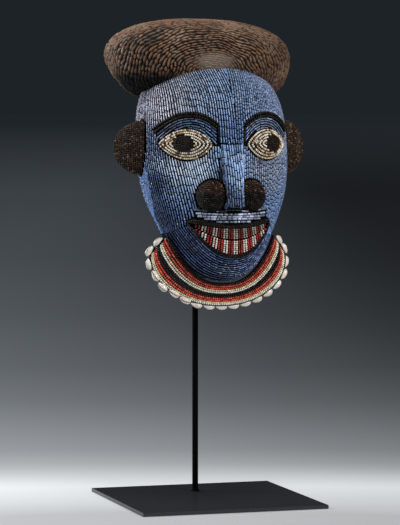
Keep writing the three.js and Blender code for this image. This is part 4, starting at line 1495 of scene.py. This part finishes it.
class MASK_OT_eyes(bpy.types.Operator):
    """Sew the eyes' cream rings and the dark pupils"""
    bl_idname = "mask.eyes"
    bl_label = "Eyes"

    def execute(self, context):
        creams = shades("#F4E6CC", "#FFF8EA", "#C29E74", "#6A4C36")
        for word, side in SIDES:
            rng = np.random.default_rng(21 + side)
            beads = []
            turn = np.linspace(0, 2 * np.pi, 700)
            for ring in range(EYE_RINGS):
                inner = EYE_X - EYE_HALF_LENGTH + 1.4 + EYE_RING_STEPS[0] * ring
                outer = EYE_X + EYE_HALF_LENGTH - 1.4 - EYE_RING_STEPS[1] * ring
                half = EYE_HALF_HEIGHT - 1.6 - EYE_RING_STEPS[2] * ring
                x = (inner + outer) / 2 + (outer - inner) / 2 * np.cos(turn)
                z = EYE_Z + ring * 0.25 + half * signed_power(np.sin(turn), 2 * EYE_POINT)
                keep = ~in_pupil(word, x, z, 1.3)
                beads.append(front_path(side * x + EYE_SHIFT, z, keep, (2.7, 3.1), rng))
            beads = np.concatenate(beads)
            colours = mixed(creams, np.tile([1.0, 0.9, 0.6, 0.4], (len(beads), 1)), rng)
            rings = seed_beads("rings", beads, colours, rng, lift=0.2, share=0.87, space=0.6)
            pad = turned_out(pad_disc("pad", (side * EYE_X + EYE_SHIFT, EYE_Z),
                                      (EYE_HALF_LENGTH, EYE_HALF_HEIGHT), -0.6, -1.8))
            thing(f"eye_beads_{word}", joined("eye", rings, pad), "cream_beads", f"bead_eye_{word}")
            rows = []
            for inset in PUPIL_INSETS:
                x = PUPIL_X[word] + (PUPIL_HALF_LENGTH[word] - inset) * np.cos(turn)
                z = EYE_Z + 1 + max(PUPIL_HALF_HEIGHT - inset, 0.6) * np.sin(turn)
                rows.append(front_path(side * x + EYE_SHIFT, z, turn >= 0, (2.6, 3.1), rng))
            rows = np.concatenate(rows)
            colours = dark(len(rows), rng, ("#1E1512", "#2A1C18", "#120E0E"))
            mesh = seed_beads("pupil", rows, colours, rng, lift=0.3)
            thing(f"pupil_beads_{word}", mesh, "dark_beads", f"bead_pupil_{word}")
        return {"FINISHED"}


class MASK_OT_brows(bpy.types.Operator):
    """Sew the two dark rows of each brow, with the tail beside the nose"""
    bl_idname = "mask.brows"
    bl_label = "Brows"

    def execute(self, context):
        for word, side in SIDES:
            rng = np.random.default_rng(31 + side)
            beads = []
            for offset in (-1.75, 1.75):
                x, z = brow_offset(side, offset)
                beads.append(front_path(x, z, np.abs(x) > BROW_TAIL[0], (2.8, 4.5), rng))
            t = np.linspace(0, 1, 60)
            beads.append(front_path(side * (BROW_TAIL[0] + 1.0 + 0 * t), 509 - t * 15, t >= 0, (5, 8), rng))
            beads = np.concatenate(beads)
            colours = dark(len(beads), rng, ("#15120F", "#241A14", "#1A1D14", "#0F0D0C"))
            mesh = bead_mesh("brow", sunk(beads, 0.1), 1.7, SEED_PROFILE, 8, colours, 0.3)
            thing(f"brow_beads_{word}", mesh, "black_beads", f"bead_brow_{word}")
        return {"FINISHED"}


class MASK_OT_mouth(bpy.types.Operator):
    """Sew the black lips and the red and white teeth"""
    bl_idname = "mask.mouth"
    bl_label = "Mouth"

    def execute(self, context):
        rng = np.random.default_rng(41)
        t = np.linspace(-1, 1, 500)
        beads = []
        for w in LIP_BLENDS:
            for inner, outer in ((teeth_top, lip_top), (teeth_bottom, lip_bottom)):
                x = t * (TEETH_HALF + (MOUTH_HALF - TEETH_HALF) * w)
                z = (1 - w) * inner(t * TEETH_HALF) + w * outer(t * MOUTH_HALF)
                beads.append(front_path(x, z, np.abs(t) <= 1, (3.0, 3.6), rng))
        beads = np.concatenate(beads)
        rows = seed_beads("rows", beads, dark(len(beads), rng), rng, lift=0.6, share=1.13)
        pad = pad_between("pad", lip_bottom, lip_top, MOUTH_HALF - 0.8, 90, 26, -0.9, -2.2)
        thing("lip_beads", joined("lips", rows, turned_out(pad)), "black_beads", "black_bead_lips")
        table = {"red": kin("teeth_red", 0.9, 1.2, 0.6), "white": kin("white", 0.86, 0.7, 0.97)}
        for word, low, high in (("upper", teeth_divide, teeth_top), ("lower", teeth_bottom, teeth_divide)):
            strands = []
            colours = []
            for k in range(TOOTH_STRANDS):
                x0 = (k - (TOOTH_STRANDS - 1) / 2) * BUGLE_PITCH
                if abs(x0) > TEETH_HALF:
                    continue
                z = np.linspace(low(x0) + 0.9, high(x0) - 0.9, 80)
                lean = x0 * (1 - 0.1 * (z - z.mean()) / 20)
                strand = front_path(lean, z, z > 0, (2.5, 3.0), rng)
                kind = "red" if k % 4 < 2 else "white"
                strands.append(strand)
                colours.append(mixed(table[kind], np.ones((len(strand), 3)), rng))
            # Painted shade: the upper row is painted at about half the lower row's brightness, for the shade
            # under the upper lip
            shade = 0.5 if word == "upper" else 1.05
            mesh = seed_beads("teeth", np.concatenate(strands), np.concatenate(colours) * shade, rng,
                              lift=-0.2, share=0.9, space=0.5)
            thing(f"teeth_beads_{word}", mesh, "red_beads", f"bead_teeth_{word}")
        return {"FINISHED"}


def ear_loops(side, rng):
    """Loops of seeds round the ear at even steps of its reach.

    At a share X of the reach, Y = ((1 - |Z|^m)^(n/m) - X^n)^(1/n) gives the thickness at each height."""
    n, m = EAR_PLAN_POWER, EAR_UP_POWER
    centre, out, back, up = ear_frame(side)
    reach = EAR_REACH - 4
    radii = np.array([reach, EAR_HALF_THICK, EAR_HALF_HEIGHT])
    beads = []
    turn = np.linspace(-np.pi, np.pi, 900)
    plan = np.linspace(0, np.pi / 2, 400)
    plan_out = reach * np.sin(plan) ** (2 / n)
    plan_back = EAR_HALF_THICK * np.cos(plan) ** (2 / n)
    arc = run_length(np.stack([plan_out, plan_back], -1))
    for place in np.arange(arc[-1] - 1.5, 0, -EAR_PITCH):
        share = np.interp(place, arc, plan_out) / reach
        tall = (1 - share ** m) ** (1 / m)
        height = tall * np.sin(turn)
        thick = np.maximum((1 - np.abs(height) ** m) ** (n / m) - share ** n, 0) ** (1 / n)
        deep = np.where(np.abs(turn) < np.pi / 2, -thick, thick)
        own = np.stack([np.full_like(turn, share), deep, height], -1)
        far = np.abs(own)
        base = np.maximum(far[:, 0] ** n + far[:, 1] ** n, 1e-9) ** (m / n - 1)
        slope = np.stack([base * far[:, 0] ** (n - 1), base * far[:, 1] ** (n - 1) * np.sign(own[:, 1]),
                          far[:, 2] ** (m - 1) * np.sign(own[:, 2])], -1) / radii
        axes = np.array([out * side, back, up])
        points = centre + (own * radii) @ axes
        normals = unit(slope) @ axes
        beads.append(threaded(points, normals, ~in_head(points, 0.5), (2.8, 3.2), rng))
    return np.concatenate(beads)


def cushion_mesh(centre, axes, radii, plan, up, around, tall):
    """A closed cushion, with c = |cos tilt|^(2/up).

    x = rx c |cos turn|^(2/plan), y = ry c |sin turn|^(2/plan), z = rz |sin tilt|^(2/up), all signed."""
    turn = (np.arange(around) / around * 2 * np.pi)[None]
    tilt = (np.linspace(-np.pi / 2, np.pi / 2, tall + 1)[1:-1])[:, None]
    ring = np.cos(tilt) ** (2 / up)
    own = np.stack(np.broadcast_arrays(radii[0] * ring * signed_power(np.cos(turn), 2 / plan),
                                       radii[1] * ring * signed_power(np.sin(turn), 2 / plan),
                                       radii[2] * signed_power(np.sin(tilt), 2 / up)), -1)
    poles = np.array([[0, 0, -radii[2]], [0, 0, radii[2]]])
    points = np.concatenate([own.reshape(-1, 3), poles]) @ np.array(axes) + np.array(centre)
    return turned_out(capped_rings("cushion", points, around))


def fitted_core(*cushion):
    """A cushion with the face cut out of it."""
    return carve(cushion_mesh(*cushion), ("DIFFERENCE", filled_face("head", CUTTER_NET, 1.0)))


class MASK_OT_ears(bpy.types.Operator):
    """Wind the ears with rows of dark seed beads"""
    bl_idname = "mask.ears"
    bl_label = "Ears"

    def execute(self, context):
        for word, side in SIDES:
            rng = np.random.default_rng(51 + side)
            beads = ear_loops(side, rng)
            # Painted highlights: the tan beads stand for glints, and are left out within 8 mm of the face,
            # where the ear is in shade
            table = np.concatenate([kin("brown", 0.55, 1.15, 0.2), shades("#6B5546")])
            rim = in_head(beads[:, :2].mean(1), 8)
            weights = np.tile([1.0, 0.8, 0.8, 0.25], (len(beads), 1))
            weights[rim, 3] = 0
            rows = seed_beads("ear", beads, mixed(table, weights, rng), rng)
            centre, out, back, up = ear_frame(side)
            radii = (EAR_REACH - 5.9, EAR_HALF_THICK - 1.9, EAR_HALF_HEIGHT - 1.9)
            core = fitted_core(centre, (out, back, up), radii, EAR_PLAN_POWER, EAR_UP_POWER, 64, 32)
            thing(f"ear_beads_{word}", joined("ear", rows, core), "dark_beads", f"beaded_ear_{word}")
        return {"FINISHED"}


class MASK_OT_nostrils(bpy.types.Operator):
    """Wind the nostrils with rings of dark seed beads"""
    bl_idname = "mask.nostrils"
    bl_label = "Nostrils"

    def execute(self, context):
        for word, side in SIDES:
            rng = np.random.default_rng(61 + side)
            centre = np.array([side * NOSTRIL[0], NOSTRIL[1], NOSTRIL[2]])
            pole = unit(np.array([side * 0.3, -0.45, 1.0]))
            level = unit(np.cross([0, -1.0, 0], pole))
            upright = np.cross(pole, level)
            turn = np.linspace(0, 2 * np.pi, 500)[:, None]
            beads = []
            for tilt in np.arange(0.07, 2.6, SEED_PITCH * 0.94 / NOSTRIL_RADIUS):
                around = level * np.cos(turn) + upright * np.sin(turn)
                normals = pole * math.cos(tilt) + math.sin(tilt) * around
                points = centre + normals * NOSTRIL_RADIUS
                beads.append(threaded(points, normals, ~in_head(points, -0.5), (2.7, 3.1), rng))
            beads = np.concatenate(beads)
            # Painted light and shade: near-black beads gather at the bottom of each ball as its shade, brown
            # beads at the top as its lit side, and the few orange beads there are painted glints
            table = shades("#281B15", "#3C2A20", "#030202", "#7C503A")
            height = beads[:, :2].mean(1)[:, 2:3]
            upper = ease(NOSTRIL[2] - 2, NOSTRIL[2] + 14, height)
            weights = np.array([0.3, 0.1, 1.0, 0.0]) + upper * np.array([0.7, 0.7, -0.7, 0.22])
            rows = seed_beads("nostril", beads, mixed(table, weights, rng), rng)
            radius = NOSTRIL_RADIUS - 1.9
            core = fitted_core(centre, np.eye(3), (radius, radius, radius), 2, 2, 40, 20)
            thing(f"nostril_beads_{word}", joined("nostril", rows, core), "dark_beads",
                  f"beaded_nostril_{word}")
        return {"FINISHED"}


def collar_point(t, w, back):
    """The collar's front at t along it: a blend by w from the inner line to the outer one, moved back."""
    t, w = np.broadcast_arrays(np.asarray(t, float), np.asarray(w, float))
    turn = -np.pi / 2 + COLLAR_TURN * (2 * t - 1)
    outer_x, outer_z = COLLAR_HALF_WIDTH * np.cos(turn), COLLAR_MID_Z + COLLAR_DROP * np.sin(turn)
    inner_x = COLLAR_INNER_HALF * np.sin((2 * t - 1) * np.pi / 2)
    x = inner_x + (outer_x - inner_x) * w
    z = collar_line(inner_x) + (outer_z - collar_line(inner_x)) * w
    bend = (COLLAR_SIDE_Y - COLLAR_CHIN_Y) * np.abs(2 * t - 1) ** 1.5
    y = COLLAR_CHIN_Y + bend - COLLAR_FLARE * (1 - w) + back
    return np.stack([x, y, z], -1)


class MASK_OT_collar(bpy.types.Operator):
    """Sew twelve rows of seed beads onto the collar"""
    bl_idname = "mask.collar"
    bl_label = "Collar"

    def execute(self, context):
        rng = np.random.default_rng(71)
        black = kin("black", 1.0, 0.6)
        maroon = kin("red", 0.12, 0.06)
        brown = kin("brown", 0.6, 0.3)
        red = kin("red", 1.0, 0.7, 1.35, 1.6)
        cream = kin("cream", 1.1, 0.95, 1.2)
        white = kin("white", 1.08, 1.0, 1.1)
        order = (black, maroon, red, red, cream, white, black, brown, red, red, cream, white)
        beads = []
        colours = []
        t = np.linspace(0.004, 0.996, 1200)
        for w, table in zip(COLLAR_ROWS, order):
            points = collar_point(t, w, 0)
            along = collar_point(t + 0.002, w, 0) - collar_point(t - 0.002, w, 0)
            over = collar_point(t, w + 0.01, 0) - collar_point(t, w - 0.01, 0)
            normals = unit(np.cross(along, over))
            normals = normals * np.sign(-normals[:, 1:2])
            strand = threaded(points, normals, ~in_head(points, -1.5), (2.7, 3.0), rng)
            beads.append(strand)
            colours.append(mixed(table, np.ones((len(strand), len(table))), rng))
        rows = seed_beads("rows", np.concatenate(beads), np.concatenate(colours), rng, share=0.9, space=0.65)
        tt, ww = np.meshgrid(np.linspace(1, 0, 120), np.linspace(-0.03, 1, 16))
        base = shell_of(collar_point(tt, ww, 2.2), collar_point(tt, ww, COLLAR_THICK), "base")
        base = carve(turned_out(base), ("DIFFERENCE", filled_face("head", CUTTER_NET, 1.0)))
        thing("collar_beads", joined("collar", rows, base), "collar_beads", "beaded_collar")
        return {"FINISHED"}


def catmull_rom(points, count):
    """A centripetal spline through points, at even steps of arc length, with its tangents."""
    first = 2 * points[0] - points[1]
    last = 2 * points[-1] - points[-2]
    knots = np.concatenate([[first], points, [last]])
    gaps = np.maximum(np.linalg.norm(np.diff(knots, axis=0), axis=1), 1e-4) ** 0.5
    u = np.linspace(0, 1, 60)[:, None]
    runs = []
    for k in range(len(points) - 1):
        p0, p1, p2, p3 = knots[k:k + 4]
        d0, d1, d2 = gaps[k:k + 3]
        m1 = ((p1 - p0) / d0 - (p2 - p0) / (d0 + d1) + (p2 - p1) / d1) * d1
        m2 = ((p2 - p1) / d1 - (p3 - p1) / (d1 + d2) + (p3 - p2) / d2) * d1
        second = 3 * (p2 - p1) - 2 * m1 - m2
        third = 2 * (p1 - p2) + m1 + m2
        runs.append(p1 + m1 * u + second * u ** 2 + third * u ** 3)
    line = np.concatenate([run[:-1] for run in runs] + [points[-1:]])
    arc = run_length(line)
    places = np.linspace(0, arc[-1], count)
    even = np.stack([np.interp(places, arc, line[:, k]) for k in range(3)], -1)
    return even, unit(np.gradient(even, axis=0))


def cowrie_points(long, wide, high):
    """A shell over its own frame, with its toothed slit's depth as a share.

    x = -long/2 cos t, y = wide/2 egg cos a, z = high sin(a)^0.9 sin(t)^1.05, less the slit.
    The egg's half width is sin(t)^1.05 (1 - 0.28 cos t), thicker at one end."""
    t = np.linspace(0, np.pi, 40)[1:-1, None]
    a = (np.arange(36) / 36 * 2 * np.pi)[None]
    egg = np.sin(t) ** 1.05 * (1 - 0.28 * np.cos(t))
    x = -long / 2 * np.cos(t) + 0 * a
    y = wide / 2 * egg * np.cos(a) / 1.06
    dome = np.where(np.sin(a) > 0, high * np.abs(np.sin(a)) ** 0.9, 0.5 * np.sin(a))
    z = dome * np.sin(t) ** 1.05 * (1 - 0.2 * np.cos(t)) / 1.03
    upper = ease(0.2, 0.7, np.sin(a)) * ease(0.12, 0.4, np.sin(t))
    slit = bell(y - 0.3 * np.sin(x * 0.3), 0.62)
    lips = bell(np.abs(y) - 1.5, 0.8) * np.cos(2 * np.pi * x / 1.35) * ease(0.5, 0.9, np.sin(t))
    z = z - upper * (2.0 * slit + 0.22 * lips)
    return np.stack(np.broadcast_arrays(x, y, z), -1), upper * slit


class MASK_OT_cowries(bpy.types.Operator):
    """Sew the cowrie shells round the collar's edge"""
    bl_idname = "mask.cowries"
    bl_label = "Cowries"

    def execute(self, context):
        places = np.concatenate([[0, 0.02], 0.02 + 0.96 * np.arange(1, 21) / 20, [1]])
        ends = [collar_point(0, 0.1, 0)[None], collar_point(places, 1, 0), collar_point(1, 0.1, 0)[None]]
        line, tangents = catmull_rom(np.concatenate(ends), 1901)
        forward = np.array([0, -1.0, 0])
        shell = size_settings()
        long, wide, high = shell.cowrie_length / MM, shell.cowrie_width / MM, shell.cowrie_height / MM
        for index in range(COWRIE_COUNT):
            rng = np.random.default_rng(100 + index)
            place = int(round((index + 0.5) / COWRIE_COUNT * 1900))
            along = tangents[place]
            outward = unit(np.cross(along, forward))
            turn = math.radians(COWRIE_TURNS[index])
            up = forward * math.cos(turn) + outward * math.sin(turn)
            side = unit(np.cross(up, along))
            level = unit(np.cross(along, side))
            seat = line[place] + np.array([0, COLLAR_THICK / 2, 0]) + outward * (1.2 - 3.4 * math.cos(turn))
            seat = seat + level * (0.4 + (COLLAR_THICK / 2 + 1.8) * math.cos(turn))
            own, dark_slit = cowrie_points(long, wide, high)
            tips = np.array([[-long / 2, 0, 0.0], [long / 2, 0, 0.0]])
            points = np.concatenate([own.reshape(-1, 3), tips]) @ np.array([along, side, level]) + seat
            mesh = turned_out(capped_rings("cowrie", points, own.shape[1]))
            colours = np.tile(kin("shell", rng.uniform(0.92, 1.06)), (len(points), 1))
            # Painted shade: the slit is blended to dark brown, for the shade inside the shell's opening
            slit = np.concatenate([dark_slit.reshape(-1), [0, 0]])[:, None]
            colours = colours * (1 - slit) + shades("#5A3A22")[0] * slit
            paint(mesh, "tint", colours)
            smooth(mesh)
            number = f"{index + 1:02d}"
            thing(f"shell_{number}", mesh, "cowrie_shell", f"cowrie_{number}")
        return {"FINISHED"}


class MASK_OT_stand(bpy.types.Operator):
    """Give the plate and the rod their black coats"""
    bl_idname = "mask.stand"
    bl_label = "Stand"

    def execute(self, context):
        for node, finish in (("base_plate", "black_steel"), ("stand_rod", "black_rod")):
            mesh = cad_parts[node].data
            mesh.materials.clear()
            mesh.materials.append(material_of(finish))
        return {"FINISHED"}


def soft_box(name, place, size, watts, shade):
    """A square lamp that faces the middle of the mask and its stand."""
    light = bpy.data.lights.new(name, "AREA")
    light.size = size
    light.energy = watts
    light.color = linear(shade)[:3]
    lamp = bpy.data.objects.new(name, light)
    bpy.context.scene.collection.objects.link(lamp)
    direction = Vector(LAMP_TARGET) - Vector(place)
    lamp.location = place
    lamp.rotation_euler = direction.to_track_quat("-Z", "Y").to_euler()


class MASK_OT_stage(bpy.types.Operator):
    """Set the floor, the soft lights and the camera"""
    bl_idname = "mask.stage"
    bl_label = "Stage"

    def execute(self, context):
        turn = np.arange(FLOOR_TURNS) / FLOOR_TURNS * 2 * np.pi
        radii = np.geomspace(*FLOOR_REACH, FLOOR_RINGS)[:, None]
        sink = np.full((FLOOR_RINGS, FLOOR_TURNS), -FLOOR_SINK)
        rings = np.stack([radii * np.cos(turn), radii * np.sin(turn), sink], -1)
        points = np.concatenate([rings.reshape(-1, 3), [[0, 0, -FLOOR_SINK]]])
        i = np.arange(FLOOR_TURNS)
        fan = np.stack([i, (i + 1) % FLOOR_TURNS, np.full(FLOOR_TURNS, FLOOR_RINGS * FLOOR_TURNS)], -1)
        faces = [grid_faces(FLOOR_RINGS, FLOOR_TURNS, wrap=True, flip=True), fan]
        floor = bpy.data.objects.new("floor", bare_mesh("floor", points, faces))
        context.scene.collection.objects.link(floor)
        floor.data.materials.append(material_of("floor"))
        world = bpy.data.worlds.new("studio_dark")
        world.use_nodes = True
        connect(world.node_tree.nodes["Background"], Color=linear("#1E2327"), Strength=1.0)
        context.scene.world = world
        for lamp in LAMPS:
            soft_box(*lamp)
        context.scene.view_settings.view_transform = "Standard"
        lens = bpy.data.cameras.new("camera")
        lens.lens = LENS
        lens.sensor_width = FILM_WIDTH
        lens.clip_end = VIEW_END
        camera = bpy.data.objects.new("camera", lens)
        context.scene.collection.objects.link(camera)
        camera.location = CAMERA_PLACE
        camera.rotation_euler = (CAMERA_PITCH, 0, VIEW_TURN)
        context.scene.camera = camera
        return {"FINISHED"}


class MASK_PT_pieces(bpy.types.Panel):
    """Lists the operators in the sidebar"""
    bl_label = "Mask"
    bl_idname = "MASK_PT_pieces"
    bl_space_type = "VIEW_3D"
    bl_region_type = "UI"
    bl_category = "Mask"

    def draw(self, context):
        for group in (context.scene.mask_sizes, context.scene.mask_colours):
            for setting in group.bl_rna.properties:
                if setting.identifier not in ("rna_type", "name"):
                    self.layout.prop(group, setting.identifier)
        for operator in OPERATORS:
            self.layout.operator(operator.bl_idname)


OPERATORS = (MASK_OT_wood, MASK_OT_face, MASK_OT_eyes, MASK_OT_brows, MASK_OT_mouth, MASK_OT_ears,
             MASK_OT_nostrils, MASK_OT_collar, MASK_OT_cowries, MASK_OT_stand, MASK_OT_stage)
CLASSES = (MaskSizes, MaskColours, *OPERATORS, MASK_PT_pieces)


def register():
    """Registers the classes and the settings."""
    for item in CLASSES:
        bpy.utils.register_class(item)
    bpy.types.Scene.mask_sizes = bpy.props.PointerProperty(type=MaskSizes)
    bpy.types.Scene.mask_colours = bpy.props.PointerProperty(type=MaskColours)


def unregister():
    """Takes the settings and the classes away again."""
    del bpy.types.Scene.mask_colours
    del bpy.types.Scene.mask_sizes
    for item in reversed(CLASSES):
        bpy.utils.unregister_class(item)


def main():
    """Makes every piece in order."""
    register()
    for operator in OPERATORS:
        group, name = operator.bl_idname.split(".")
        getattr(getattr(bpy.ops, group), name)()


if __name__ == "__main__":
    main()
